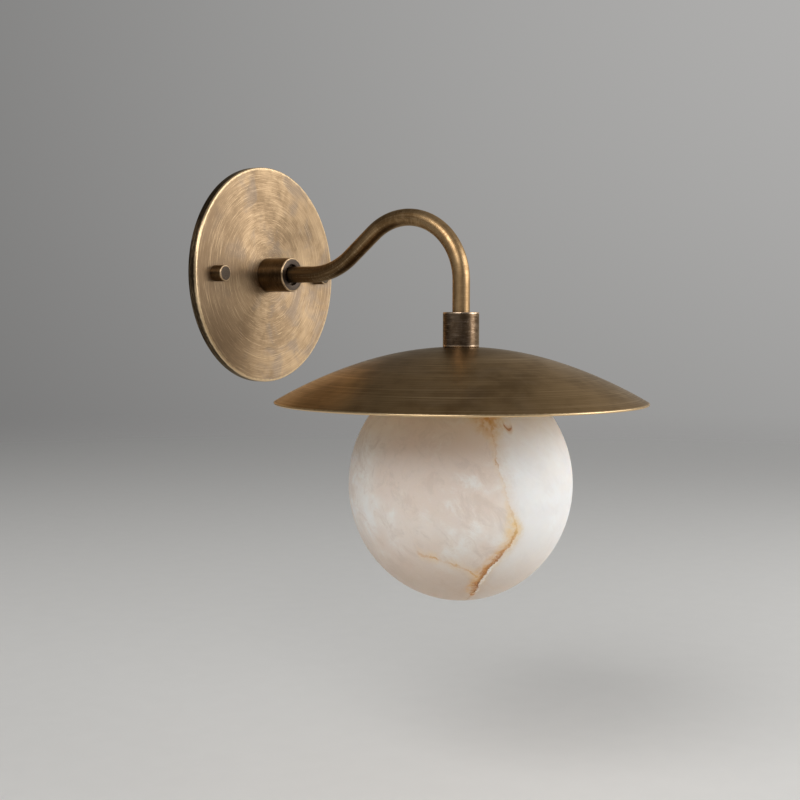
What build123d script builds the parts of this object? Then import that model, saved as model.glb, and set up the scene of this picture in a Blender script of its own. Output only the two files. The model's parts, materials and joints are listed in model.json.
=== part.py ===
from build123d import *
import math
import os

# Wall sconce with an alabaster globe under a domed brass shade, in millimetres.
# The origin is the centre of the round backplate on the wall: +Y goes into the wall, +Z is up.

# Wall side
canopy_radius = 63.5
canopy_depth = 5.5
canopy_wall = 1.5
canopy_edge = 0.5
plate_rim_gap = 6.0
plate_thickness = 1.5
plate_wire_hole = 20.0
box_slot_spacing = 79.4
box_slot_length = 14.5
box_slot_width = 5.0
stud_inset = 16.85
stud_radius = 2.0
stud_tip_gap = 0.6
stud_nut_flats = 7.0
stud_nut_gap = 0.5

# Round nuts on the face of the canopy
cap_nut_radius = 4.6
cap_nut_length = 7.5
cap_nut_edge = 0.5
cap_nut_crown = 0.9
nut_washer_radius = 3.8
nut_washer_thickness = 0.5

# Earth screw, its lead and the ring tags
ground_angle = 225.0
ground_distance = 31.0
ground_head_radius = 3.4
ground_head_gap = 0.4
ground_lead_gap = 0.1
tag_thickness = 0.5
tag_ring_width = 2.3
tag_tongue = 2.6
tag_wall = 0.35
tag_barrel = 4.0

# Hub that carries the arm
hub_radius = 10.0
hub_length = 18.5
hub_edge = 0.6
hub_recess_radius = 6.2
hub_recess_depth = 2.5
hub_web = 1.0

# Threaded nipples and their nuts
nipple_radius = 5.0
nipple_wall = 1.25
nipple_grip = 7.0
nipple_set_back = 0.6
nipple_past_nut = 1.4
lock_washer_radius = 7.5
lock_washer_thickness = 0.6
locknut_flats = 14.0
hub_locknut_set_back = 0.7
fitter_locknut_height = 3.0
bushing_flange = 4.8
bushing_wall = 0.4
bushing_sleeve = 5.4
bushing_lip = 0.5

# Arm tube
tube_radius = 4.75
tube_wall = 1.0
arm_lead_out = 15.4
arm_lower_bend = 42.4
arm_rise_angle = 39.2
arm_rise_run = 20.8
arm_arch = 35.4
arm_drop = 17.0
set_screw_radius = 2.0
set_screw_inset = 0.4
hub_screw_back = 5.5

# Coupler on top of the shade
coupler_radius = 9.85
coupler_length = 19.05
coupler_edge = 0.5
coupler_web = 2.35
coupler_screw_drop = 5.0

# Domed shade
shade_radius = 101.6
shade_sheet = 1.2
shade_seat_margin = 1.15
shade_crown_arc = 175.0
shade_crown_radius = 53.3
shade_skirt_arc = 240.0
spacer_radius = 11.0
spacer_height = 3.0

# Screw fitting of the globe
fitter_plate = 1.5
fitter_drop = 13.25
fitter_wall = 1.5
fitter_thread_radius = 24.0
fitter_flange_radius = 29.0
fitter_flange = 1.5
fitter_thread_length = 8.4
gasket_thickness = 1.2
neck_ring_wall = 2.8
neck_ring_length = 8.4

# Alabaster globe
globe_radius = 61.0
globe_half_height = 63.7
globe_wall = 9.0
globe_neck_land = 3.15

# Lampholder and its bracket
holder_width = 21.8
holder_depth = 14.0
holder_height = 20.0
holder_gap = 5.5
bracket_sheet = 1.0
bracket_width = 12.0
bracket_leg_overlap = 12.0
holder_screw_radius = 1.5
holder_screw_length = 5.0
holder_screw_head = 2.7
holder_screw_head_height = 1.6
chamber_margin = 0.25
chamber_depth = 12.0
chamber_side_gap = 0.65
contact_sheet = 0.4
contact_set_back = 3.0

# Plug-in lamp
pin_spacing = 9.0
pin_width = 2.8
pin_thickness = 0.9
pin_tip_gap = 2.2
pin_grip = 0.08
bulb_radius = 8.0
bulb_base_height = 14.0
bulb_length = 46.0
bulb_wall = 0.8
bulb_edge = 1.0
board_width = 9.0
board_thickness = 1.0
board_tip_gap = 17.0

# Leads inside the arm
lead_radius = 0.95
lead_gap = 0.05
lead_end = 0.1

# Clearances
thread_gap = 0.05
hole_gap = 0.2
turning_gap = 0.1
seat_gap = 0.2

# Places behind and on the canopy, as distances from the wall
canopy_inside = canopy_depth - canopy_wall
plate_radius = canopy_radius - canopy_wall - plate_rim_gap
behind_canopy = canopy_inside - plate_thickness
stud_x = canopy_radius - stud_inset
stud_nut_height = behind_canopy - stud_nut_gap
cap_nut_bore_depth = cap_nut_length - cap_nut_crown
stud_length = canopy_depth + cap_nut_bore_depth - stud_tip_gap
ground_head_height = behind_canopy - tag_thickness - ground_head_gap
ground_lead_radius = behind_canopy / 2 - tag_wall - ground_lead_gap
ground_lead_height = plate_thickness + behind_canopy / 2
ground_lead_start = nipple_radius + hole_gap + tag_ring_width + tag_tongue
ground_lead_stop = ground_distance - stud_radius - hole_gap - tag_ring_width - tag_tongue
hub_front = canopy_depth + hub_length
hub_nipple_end = canopy_depth + nipple_grip
tube_start = hub_nipple_end + hub_web
hub_washer_back = canopy_inside - lock_washer_thickness
hub_tag_back = hub_washer_back - tag_thickness

# Bores and leads
nipple_bore = nipple_radius - nipple_wall
tube_bore = tube_radius - tube_wall
bushing_bore = nipple_bore - thread_gap - bushing_wall
lead_offset = min(bushing_bore, tube_bore) - lead_gap - lead_radius

# Corners of the arm's centreline, as distance from the wall and height
rise = math.radians(arm_rise_angle)
lower_tangent = arm_lower_bend * math.tan(rise / 2)
arch_tangent = arm_arch * math.tan((math.pi / 2 + rise) / 2)
rise_length = lower_tangent + arm_rise_run + arch_tangent
arm_rise_start = hub_front + arm_lead_out + lower_tangent
arm_reach = arm_rise_start + rise_length * math.cos(rise)
arm_corner_height = rise_length * math.sin(rise)

# Heights down the axis of the lamp
coupler_top = arm_corner_height - arch_tangent - arm_drop
coupler_bottom = coupler_top - coupler_length
shade_nipple_top = coupler_bottom + nipple_grip
tube_end = shade_nipple_top + coupler_web
shade_seat = coupler_bottom
shade_seat_radius = coupler_radius + shade_seat_margin
shade_apex = shade_seat + shade_crown_arc - math.sqrt(shade_crown_arc**2 - shade_seat_radius**2)
shade_underside = shade_seat - shade_sheet
fitter_top = shade_underside - spacer_height
flange_bottom = fitter_top - fitter_drop
bracket_top = fitter_top - fitter_plate
fitter_washer_top = bracket_top - bracket_sheet
fitter_nut_top = fitter_washer_top - lock_washer_thickness
fitter_nut_bottom = fitter_nut_top - fitter_locknut_height
shade_nipple_end = fitter_nut_bottom - nipple_past_nut

# Globe and its screw neck
neck_ring_inner = fitter_thread_radius + turning_gap
neck_ring_outer = neck_ring_inner + neck_ring_wall
globe_bore = neck_ring_outer + thread_gap
globe_top = flange_bottom - gasket_thickness
globe_neck_share = (globe_bore + globe_neck_land) / globe_radius
globe_centre = globe_top - globe_half_height * math.sqrt(1 - globe_neck_share**2)

# Lampholder and lamp
holder_top = shade_nipple_end - holder_gap
holder_bottom = holder_top - holder_height
holder_screw_z = holder_top - bracket_leg_overlap / 2
bracket_inside = holder_width / 2 + thread_gap
chamber_top = holder_bottom + chamber_depth
chamber_inner = lead_offset - lead_radius - chamber_margin
chamber_outer = (pin_spacing + pin_width) / 2 + chamber_margin
contact_width = pin_thickness + 2 * (pin_grip + contact_sheet)
chamber_width = contact_width + 2 * chamber_side_gap
contact_leaf = chamber_depth - contact_set_back
pin_length = chamber_depth + seat_gap - pin_tip_gap
bulb_top = holder_bottom - seat_gap
bulb_base_bottom = bulb_top - bulb_base_height
bulb_bottom = bulb_top - bulb_length
board_top = bulb_base_bottom + bulb_base_height / 2
board_length = board_top - bulb_bottom - board_tip_gap


def ring(radius, low, high, bore=0.0):
    """A turned disc or sleeve about the local Z axis."""
    height = high - low
    base = (Align.CENTER, Align.CENTER, Align.MIN)
    body = Cylinder(radius, height, align=base)
    if bore:
        body -= Cylinder(bore, height, align=base)
    return Pos(0, 0, low) * body


def hex_ring(flats, low, high, bore):
    """A hexagon nut about the local Z axis."""
    outline = RegularPolygon(flats / 2, 6, major_radius=False) - Circle(bore)
    return Pos(0, 0, low) * extrude(outline, high - low)


def off_wall(body, x=0.0):
    """Stands a body on the wall: its local Z points into the room."""
    return Pos(x, 0, 0) * Rot(90, 0, 0) * body


def on_lamp_axis(body):
    """Moves a body onto the upright axis of the shade and the globe."""
    return Pos(0, -arm_reach, 0) * body


def top_edge(body):
    """The highest round edge of a turned body, along its local Z axis."""
    return body.edges().filter_by(GeomType.CIRCLE).sort_by(Axis.Z)[-1]


def wall_pair(body):
    """Two copies, one at each stud of the canopy."""
    return Compound(children=[off_wall(body, x) for x in (-stud_x, stud_x)])


# Wall plate with slots for the screws of the wall box
def make_mounting_plate():
    plate = ring(plate_radius, 0, plate_thickness, plate_wire_hole)
    slot = extrude(SlotOverall(box_slot_length, box_slot_width, rotation=90), plate_thickness)
    tapped = ring(stud_radius + thread_gap, 0, plate_thickness)
    for side in (-1, 1):
        plate -= Pos(0, side * box_slot_spacing / 2, 0) * slot
        plate -= Pos(side * stud_x, 0, 0) * tapped
    plate -= Rot(0, 0, ground_angle) * Pos(ground_distance, 0, 0) * tapped
    return off_wall(plate)


def make_canopy_studs():
    return wall_pair(ring(stud_radius, 0, stud_length))


def make_stud_locknuts():
    top = plate_thickness + stud_nut_height
    return wall_pair(hex_ring(stud_nut_flats, plate_thickness, top, stud_radius + thread_gap))


# Earth screw, its two ring tags and the lead between them
def make_ground_screw():
    seat = plate_thickness + tag_thickness
    screw = ring(stud_radius, 0, seat) + ring(ground_head_radius, seat, seat + ground_head_height)
    return off_wall(Rot(0, 0, ground_angle) * Pos(ground_distance, 0, 0) * screw)


def radial_rod(radius, start, end):
    """A round bar along the local X axis at the height of the earth lead."""
    return Pos(start, 0, ground_lead_height) * Rot(0, 90, 0) * ring(radius, 0, end - start)


def make_tag(centre, bore, low, direction):
    """A ring tag: an eye, a tongue and a crimped barrel round the lead's end."""
    mouth = ground_lead_start if direction > 0 else ground_lead_stop
    barrel = sorted((mouth, mouth + direction * tag_barrel))
    eye = Pos(centre, 0, 0) * ring(bore + tag_ring_width, low, low + tag_thickness, bore)
    reach = sorted((centre + direction * (bore + tag_ring_width / 2), mouth + direction * tag_thickness))
    corner = (Align.MIN, Align.CENTER, Align.MIN)
    width = 2 * (ground_lead_radius + tag_wall)
    tongue = Pos(reach[0], 0, low) * Box(reach[1] - reach[0], width, tag_thickness, align=corner)
    tag = eye + tongue + radial_rod(ground_lead_radius + tag_wall, *barrel)
    return tag - radial_rod(ground_lead_radius + thread_gap, ground_lead_start, ground_lead_stop)


def make_ground_tags():
    hub_tag = make_tag(0, nipple_radius + hole_gap, hub_tag_back, 1)
    screw_tag = make_tag(ground_distance, stud_radius + hole_gap, plate_thickness, -1)
    return Compound(children=[off_wall(Rot(0, 0, ground_angle) * tag) for tag in (hub_tag, screw_tag)])


def make_ground_lead():
    lead = radial_rod(ground_lead_radius, ground_lead_start, ground_lead_stop)
    return off_wall(Rot(0, 0, ground_angle) * lead)


# Round backplate that covers the wall box
def make_canopy():
    dish = ring(canopy_radius, 0, canopy_depth)
    dish = chamfer(top_edge(dish), canopy_edge)
    dish -= ring(canopy_radius - canopy_wall, 0, canopy_inside)
    dish -= ring(nipple_radius + hole_gap, 0, canopy_depth)
    for side in (-1, 1):
        dish -= Pos(side * stud_x, 0, 0) * ring(stud_radius + hole_gap, 0, canopy_depth)
        pocket = ring(nut_washer_radius + hole_gap, canopy_depth - nut_washer_thickness, canopy_depth)
        dish -= Pos(side * stud_x, 0, 0) * pocket
    return off_wall(dish)


def make_nut_washer(side):
    low = canopy_depth - nut_washer_thickness
    return off_wall(ring(nut_washer_radius, low, canopy_depth, stud_radius + hole_gap), side * stud_x)


def make_cap_nut(side):
    nut = ring(cap_nut_radius, canopy_depth, canopy_depth + cap_nut_length)
    nut = chamfer(top_edge(nut), cap_nut_edge)
    nut -= ring(stud_radius + thread_gap, canopy_depth, canopy_depth + cap_nut_bore_depth)
    return off_wall(nut, side * stud_x)


# Hub, its nipple through the canopy and the nut behind it
def make_hub_nipple():
    return off_wall(ring(nipple_radius, nipple_set_back, hub_nipple_end, nipple_bore))


def make_wire_bushing():
    lip = ring(bushing_flange, nipple_set_back - bushing_lip, nipple_set_back)
    bush = lip + ring(nipple_bore - thread_gap, nipple_set_back, nipple_set_back + bushing_sleeve)
    return off_wall(bush - ring(bushing_bore, 0, nipple_set_back + bushing_sleeve))


def make_hub_lock_washer():
    return off_wall(ring(lock_washer_radius, hub_washer_back, canopy_inside, nipple_radius + hole_gap))


def make_hub_locknut():
    return off_wall(hex_ring(locknut_flats, hub_locknut_set_back, hub_tag_back, nipple_radius + thread_gap))


def make_arm_hub():
    hub = ring(hub_radius, canopy_depth, hub_front)
    hub = chamfer(top_edge(hub), hub_edge)
    hub -= ring(nipple_radius + thread_gap, canopy_depth, hub_nipple_end)
    hub -= ring(nipple_bore, hub_nipple_end, tube_start)
    hub -= ring(tube_radius + thread_gap, tube_start, hub_front)
    hub -= ring(hub_recess_radius, hub_front - hub_recess_depth, hub_front)
    hub = off_wall(hub)
    return hub - hub_screw(set_screw_radius + thread_gap, hub_radius)


def hub_screw(radius, reach):
    """A radial bar under the hub, from the tube outwards."""
    bar = Rot(180, 0, 0) * ring(radius, tube_radius + thread_gap, reach)
    return Pos(0, -(hub_front - hub_recess_depth - hub_screw_back), 0) * bar


def make_arm_set_screw():
    return hub_screw(set_screw_radius, hub_radius - set_screw_inset)


# Bent arm tube
def arm_path(start, end, x=0.0):
    """The arm's centreline: out from the wall, up a slope, over the arch and straight down."""
    corners = [
        (x, -start, 0),
        (x, -arm_rise_start, 0),
        (x, -arm_reach, arm_corner_height),
        (x, -arm_reach, end),
    ]
    return FilletPolyline(*corners, radius=[arm_lower_bend, arm_arch])


def swept(path, radius, bore=0.0):
    """A round bar or tube along a path, with its volume checked against its length."""
    outline = Circle(radius)
    if bore:
        outline -= Circle(bore)
    body = sweep(Plane(path @ 0, z_dir=path % 0) * outline, path)
    print("swept volume", round(body.volume, 1), "by length", round(outline.area * path.length, 1))
    return body


def make_arm_tube():
    return swept(arm_path(tube_start, tube_end), tube_radius, tube_bore)


# Coupler between the arm and the shade
def make_shade_coupler():
    body = ring(coupler_radius, coupler_bottom, coupler_top)
    body = chamfer(body.edges().filter_by(GeomType.CIRCLE), coupler_edge)
    body -= ring(tube_radius + thread_gap, tube_end, coupler_top)
    body -= ring(nipple_bore, coupler_bottom, tube_end)
    body -= ring(nipple_radius + thread_gap, coupler_bottom, shade_nipple_top)
    return on_lamp_axis(body - coupler_screw(set_screw_radius + thread_gap, coupler_radius))


def coupler_screw(radius, reach):
    """A radial bar on the wall side of the coupler, from the tube outwards."""
    bar = Rot(-90, 0, 0) * ring(radius, tube_radius + thread_gap, reach)
    return Pos(0, 0, coupler_top - coupler_screw_drop) * bar


def make_coupler_set_screw():
    return on_lamp_axis(coupler_screw(set_screw_radius, coupler_radius - set_screw_inset))


def make_shade_nipple():
    return on_lamp_axis(ring(nipple_radius, shade_nipple_end, shade_nipple_top, nipple_bore))


# Domed shade: a flat seat, a crown arc and a flatter skirt arc
def make_shade():
    crown_centre = shade_apex - shade_crown_arc
    lean = math.asin(shade_crown_radius / shade_crown_arc)
    skirt_centre = (
        shade_crown_radius - shade_skirt_arc * math.sin(lean),
        crown_centre + (shade_crown_arc - shade_skirt_arc) * math.cos(lean),
    )
    rim_lean = math.asin((shade_radius - skirt_centre[0]) / shade_skirt_arc)

    def crown(angle, inset):
        reach = shade_crown_arc - inset
        return reach * math.sin(angle), crown_centre + reach * math.cos(angle)

    def skirt(angle, inset):
        reach = shade_skirt_arc - inset
        return skirt_centre[0] + reach * math.sin(angle), skirt_centre[1] + reach * math.cos(angle)

    def side(inset):
        """One face of the sheet, from its flat seat to the rim."""
        seat = shade_seat - inset
        seat_lean = math.acos((seat - crown_centre) / (shade_crown_arc - inset))
        flat = Line((nipple_radius + hole_gap, seat), crown(seat_lean, inset))
        middle = (seat_lean + lean) / 2
        upper = ThreePointArc(crown(seat_lean, inset), crown(middle, inset), crown(lean, inset))
        middle = (lean + rim_lean) / 2
        lower = ThreePointArc(crown(lean, inset), skirt(middle, inset), skirt(rim_lean, inset))
        return [flat, upper, lower]

    outside, inside = side(0), side(shade_sheet)
    rim = Line(outside[-1] @ 1, inside[-1] @ 1)
    hole = Line(outside[0] @ 0, inside[0] @ 0)
    outline = Plane.XZ * make_face(outside + inside + [rim, hole])
    return on_lamp_axis(revolve(outline, Axis.Z))


def make_shade_spacer():
    return on_lamp_axis(ring(spacer_radius, fitter_top, shade_underside, nipple_radius + hole_gap))


# Threaded cup that the globe screws onto
def make_globe_fitter():
    low = flange_bottom - fitter_thread_length
    cup = ring(fitter_thread_radius, low, fitter_top)
    cup += ring(fitter_flange_radius, flange_bottom, flange_bottom + fitter_flange)
    cup -= ring(fitter_thread_radius - fitter_wall, low, fitter_top - fitter_plate)
    return on_lamp_axis(cup - ring(nipple_radius + hole_gap, low, fitter_top))


def make_fitter_lock_washer():
    bore = nipple_radius + hole_gap
    return on_lamp_axis(ring(lock_washer_radius, fitter_nut_top, fitter_washer_top, bore))


def make_fitter_locknut():
    bore = nipple_radius + thread_gap
    return on_lamp_axis(hex_ring(locknut_flats, fitter_nut_bottom, fitter_nut_top, bore))


# Globe with its bonded neck ring and the gasket above it
def make_globe_gasket():
    return on_lamp_axis(ring(fitter_flange_radius, globe_top, flange_bottom, neck_ring_inner + hole_gap))


def make_globe_neck_ring():
    return on_lamp_axis(ring(neck_ring_outer, globe_top - neck_ring_length, globe_top, neck_ring_inner))


def half_ellipse(radius, half_height):
    """The right half of an upright ellipse about the origin."""
    arc = EllipticalCenterArc((0, 0), radius, half_height, start_angle=-90, arc_size=180)
    return make_face([arc, Line(arc @ 1, arc @ 0)])


def make_alabaster_globe():
    """Half the wall's section, cut off flat at the neck and bored, turned about the lamp's axis."""
    corner = (Align.MIN, Align.MIN)
    section = half_ellipse(globe_radius, globe_half_height)
    section -= half_ellipse(globe_radius - globe_wall, globe_half_height - globe_wall)
    section -= Pos(0, globe_top - globe_centre) * Rectangle(globe_radius, globe_half_height, align=corner)
    section -= Rectangle(globe_bore, globe_half_height, align=corner)
    return on_lamp_axis(Pos(0, 0, globe_centre) * revolve(Plane.XZ * section, Axis.Z))


# Lampholder hung from the nipple by a folded bracket
def make_lampholder_bracket():
    outside = bracket_inside + bracket_sheet
    bottom = holder_top - bracket_leg_overlap
    height = bracket_top - bottom
    hung = (Align.CENTER, Align.CENTER, Align.MAX)
    strap = Pos(0, 0, bracket_top) * Box(2 * outside, bracket_width, height, align=hung)
    strap -= Pos(0, 0, fitter_washer_top) * Box(2 * bracket_inside, bracket_width, height, align=hung)
    strap -= ring(nipple_radius + hole_gap, bottom, bracket_top)
    return on_lamp_axis(strap - side_bar(holder_screw_radius + hole_gap, -outside, outside))


def side_bar(radius, start, end):
    """A round bar along X at the height of the lampholder's side screws."""
    return Pos(start, 0, holder_screw_z) * Rot(0, 90, 0) * ring(radius, 0, end - start)


def on_both_sides(body):
    """A body on the +X side and its half-turn copy on the -X side."""
    return [body, Rot(0, 0, 180) * body]


def make_lampholder():
    corner = (Align.CENTER, Align.CENTER, Align.MIN)
    block = Pos(0, 0, holder_bottom) * Box(holder_width, holder_depth, holder_height, align=corner)
    low_edge = (Align.MIN, Align.CENTER, Align.MIN)
    chamber = Box(chamber_outer - chamber_inner, chamber_width, chamber_depth, align=low_edge)
    tip = bracket_inside + bracket_sheet - holder_screw_length
    cuts = [
        Pos(chamber_inner, 0, holder_bottom) * chamber,
        side_bar(holder_screw_radius + thread_gap, tip, bracket_inside),
        Pos(lead_offset, 0, 0) * ring(lead_radius + thread_gap, chamber_top, holder_top),
    ]
    for cut in cuts:
        for side in on_both_sides(cut):
            block -= side
    return on_lamp_axis(block)


def make_lampholder_screws():
    seat = bracket_inside + bracket_sheet
    shank = side_bar(holder_screw_radius, seat - holder_screw_length, seat)
    screw = shank + side_bar(holder_screw_head, seat, seat + holder_screw_head_height)
    return on_lamp_axis(Compound(children=on_both_sides(screw)))


def make_lampholder_contacts():
    """Two folded clips: a roof that the lead meets and two leaves that grip a pin."""
    inner = chamber_inner + thread_gap
    outer = chamber_outer - thread_gap
    corner = (Align.MIN, Align.CENTER, Align.MAX)
    clip = Pos(inner, 0, chamber_top) * Box(outer - inner, contact_width, contact_sheet, align=corner)
    leaf = Box(pin_width, contact_sheet, contact_leaf, align=(Align.CENTER, Align.CENTER, Align.MAX))
    for side in (-1, 1):
        clip += Pos(pin_spacing / 2, side * (contact_width - contact_sheet) / 2, chamber_top) * leaf
    return on_lamp_axis(Compound(children=on_both_sides(clip)))


# Plug-in lamp: base, pins, light board and frosted cover
def make_bulb_base():
    base = ring(bulb_radius, bulb_base_bottom, bulb_top)
    base = chamfer(top_edge(base), bulb_edge)
    slot = light_board(hole_gap)
    return on_lamp_axis(base - Pos(0, 0, thread_gap) * slot)


def light_board(extra):
    """The light board, or the slot for it, which is wider by the extra."""
    hung = (Align.CENTER, Align.CENTER, Align.MAX)
    board = Box(board_width + extra, board_thickness + extra, board_length, align=hung)
    return Pos(0, 0, board_top) * board


def make_bulb_pins():
    """Two flat wire loops that stand up out of the base."""
    loop = SlotOverall(pin_length, pin_width, rotation=90)
    loop -= SlotOverall(pin_length - 2 * pin_thickness, pin_width - 2 * pin_thickness, rotation=90)
    pin = Plane.XZ * Pos(pin_spacing / 2, bulb_top + pin_length / 2) * loop
    pin = extrude(pin, pin_thickness / 2, both=True)
    return on_lamp_axis(Compound(children=on_both_sides(pin)))


def make_bulb_led_board():
    return on_lamp_axis(light_board(0))


def capped_rod(radius, low, high):
    """A round bar with a half ball at its lower end."""
    return ring(radius, low + radius, high) + Pos(0, 0, low + radius) * Sphere(radius)


def make_bulb_diffuser():
    cover = capped_rod(bulb_radius, bulb_bottom, bulb_base_bottom)
    inside = capped_rod(bulb_radius - bulb_wall, bulb_bottom + bulb_wall, bulb_base_bottom)
    return on_lamp_axis(cover - inside)


# Two supply leads through the arm, down to the lampholder
def make_lead(side):
    return swept(arm_path(lead_end, chamber_top, side * lead_offset), lead_radius)


nodes = {
    "mounting_plate": make_mounting_plate(),
    "canopy_studs": make_canopy_studs(),
    "stud_locknuts": make_stud_locknuts(),
    "ground_screw": make_ground_screw(),
    "ground_tags": make_ground_tags(),
    "ground_lead": make_ground_lead(),
    "canopy": make_canopy(),
    "left_nut_washer": make_nut_washer(-1),
    "right_nut_washer": make_nut_washer(1),
    "left_cap_nut": make_cap_nut(-1),
    "right_cap_nut": make_cap_nut(1),
    "hub_nipple": make_hub_nipple(),
    "wire_bushing": make_wire_bushing(),
    "hub_lock_washer": make_hub_lock_washer(),
    "hub_locknut": make_hub_locknut(),
    "arm_hub": make_arm_hub(),
    "arm_set_screw": make_arm_set_screw(),
    "arm_tube": make_arm_tube(),
    "shade_coupler": make_shade_coupler(),
    "coupler_set_screw": make_coupler_set_screw(),
    "shade_nipple": make_shade_nipple(),
    "shade": make_shade(),
    "shade_spacer": make_shade_spacer(),
    "globe_fitter": make_globe_fitter(),
    "fitter_lock_washer": make_fitter_lock_washer(),
    "fitter_locknut": make_fitter_locknut(),
    "globe_gasket": make_globe_gasket(),
    "globe_neck_ring": make_globe_neck_ring(),
    "alabaster_globe": make_alabaster_globe(),
    "lampholder_bracket": make_lampholder_bracket(),
    "lampholder": make_lampholder(),
    "lampholder_screws": make_lampholder_screws(),
    "lampholder_contacts": make_lampholder_contacts(),
    "bulb_base": make_bulb_base(),
    "bulb_pins": make_bulb_pins(),
    "bulb_led_board": make_bulb_led_board(),
    "bulb_diffuser": make_bulb_diffuser(),
    "live_lead": make_lead(-1),
    "neutral_lead": make_lead(1),
}

os.makedirs("parts", exist_ok=True)
for name, body in nodes.items():
    export_step(body, f"parts/{name}.step")
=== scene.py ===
# %% [markdown]
# # Alabaster wall sconce
# A round backplate carries a bent brass arm, a domed brass shade and a hollow stone globe that screws up under it.
# The packed model is loaded first and stays fixed. Every piece made here is in metres and in that model's frame:
# the wall is the plane Y = 0, the room lies towards -Y, and Z points up.

# %% Load the fixed frame
import json
import math
from collections import namedtuple

import bmesh
import bpy
from mathutils import Matrix, Vector


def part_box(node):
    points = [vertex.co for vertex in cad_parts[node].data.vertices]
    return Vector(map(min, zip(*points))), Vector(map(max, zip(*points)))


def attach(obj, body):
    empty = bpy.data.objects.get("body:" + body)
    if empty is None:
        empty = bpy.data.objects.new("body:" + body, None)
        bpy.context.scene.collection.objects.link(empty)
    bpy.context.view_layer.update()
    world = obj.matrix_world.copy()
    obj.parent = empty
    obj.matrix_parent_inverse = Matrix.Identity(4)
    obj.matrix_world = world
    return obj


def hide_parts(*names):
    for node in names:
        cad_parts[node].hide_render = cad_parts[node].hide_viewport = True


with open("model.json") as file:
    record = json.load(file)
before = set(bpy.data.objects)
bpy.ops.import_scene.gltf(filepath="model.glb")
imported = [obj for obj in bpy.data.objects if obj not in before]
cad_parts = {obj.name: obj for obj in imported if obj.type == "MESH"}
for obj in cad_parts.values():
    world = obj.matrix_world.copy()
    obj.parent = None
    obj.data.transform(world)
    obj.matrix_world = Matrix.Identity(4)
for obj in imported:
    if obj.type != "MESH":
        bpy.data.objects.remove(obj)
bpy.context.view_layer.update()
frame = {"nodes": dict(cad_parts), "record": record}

# %% [markdown]
# ## Sizes
# The pieces sit on two axes: one points out of the wall through the backplate, the other hangs down through the
# shade and the globe. Sizes could be typed in twice, but they are measured on the loaded nodes, so that a piece
# made here always lands where the fixed one was. The sizes of the light are in millimetres, as on a maker's drawing,
# and become Blender's metres only where a mesh or a matrix is made.

# %% Measure the two axes
MM = 0.001


def ends(node):
    """A node's lowest and highest corners in millimetres."""
    return [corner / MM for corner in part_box(node)]


def middle(node):
    low, high = ends(node)
    return (low + high) / 2


def size(node):
    low, high = ends(node)
    return high - low


reach = -middle("shade_coupler").y
stud_x = middle("right_cap_nut").x
print("lamp axis", round(reach, 2), "mm from the wall, studs", round(stud_x, 2), "mm from the middle")

# %% [markdown]
# ## Writing a material as sums
# A material is a web of nodes. Wiring it by hand hides the idea, so a small class stands for one socket and adds a
# Math node whenever Python adds, multiplies or compares. Every other node comes from its one `node` method, apart
# from the texture coordinates that a tree starts from.

# %% Link or set a socket
def join(socket, value):
    """Links a field to a socket, or sets a plain value on it; a colour is three numbers and gets an alpha of one."""
    if isinstance(value, Field):
        socket.id_data.links.new(value.socket, socket)
    else:
        socket.default_value = (*value, 1.0) if socket.type == "RGBA" else value


def set_points(mapping, points):
    """Draws a curve through points and runs it on level at both ends."""
    mapping.extend = "HORIZONTAL"
    curve = mapping.curves[0]
    while len(curve.points) < len(points):
        curve.points.new(1.0, 1.0)
    for point, spot in zip(curve.points, points):
        point.location = spot
    mapping.update()


print("sockets can be linked or set")

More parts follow.
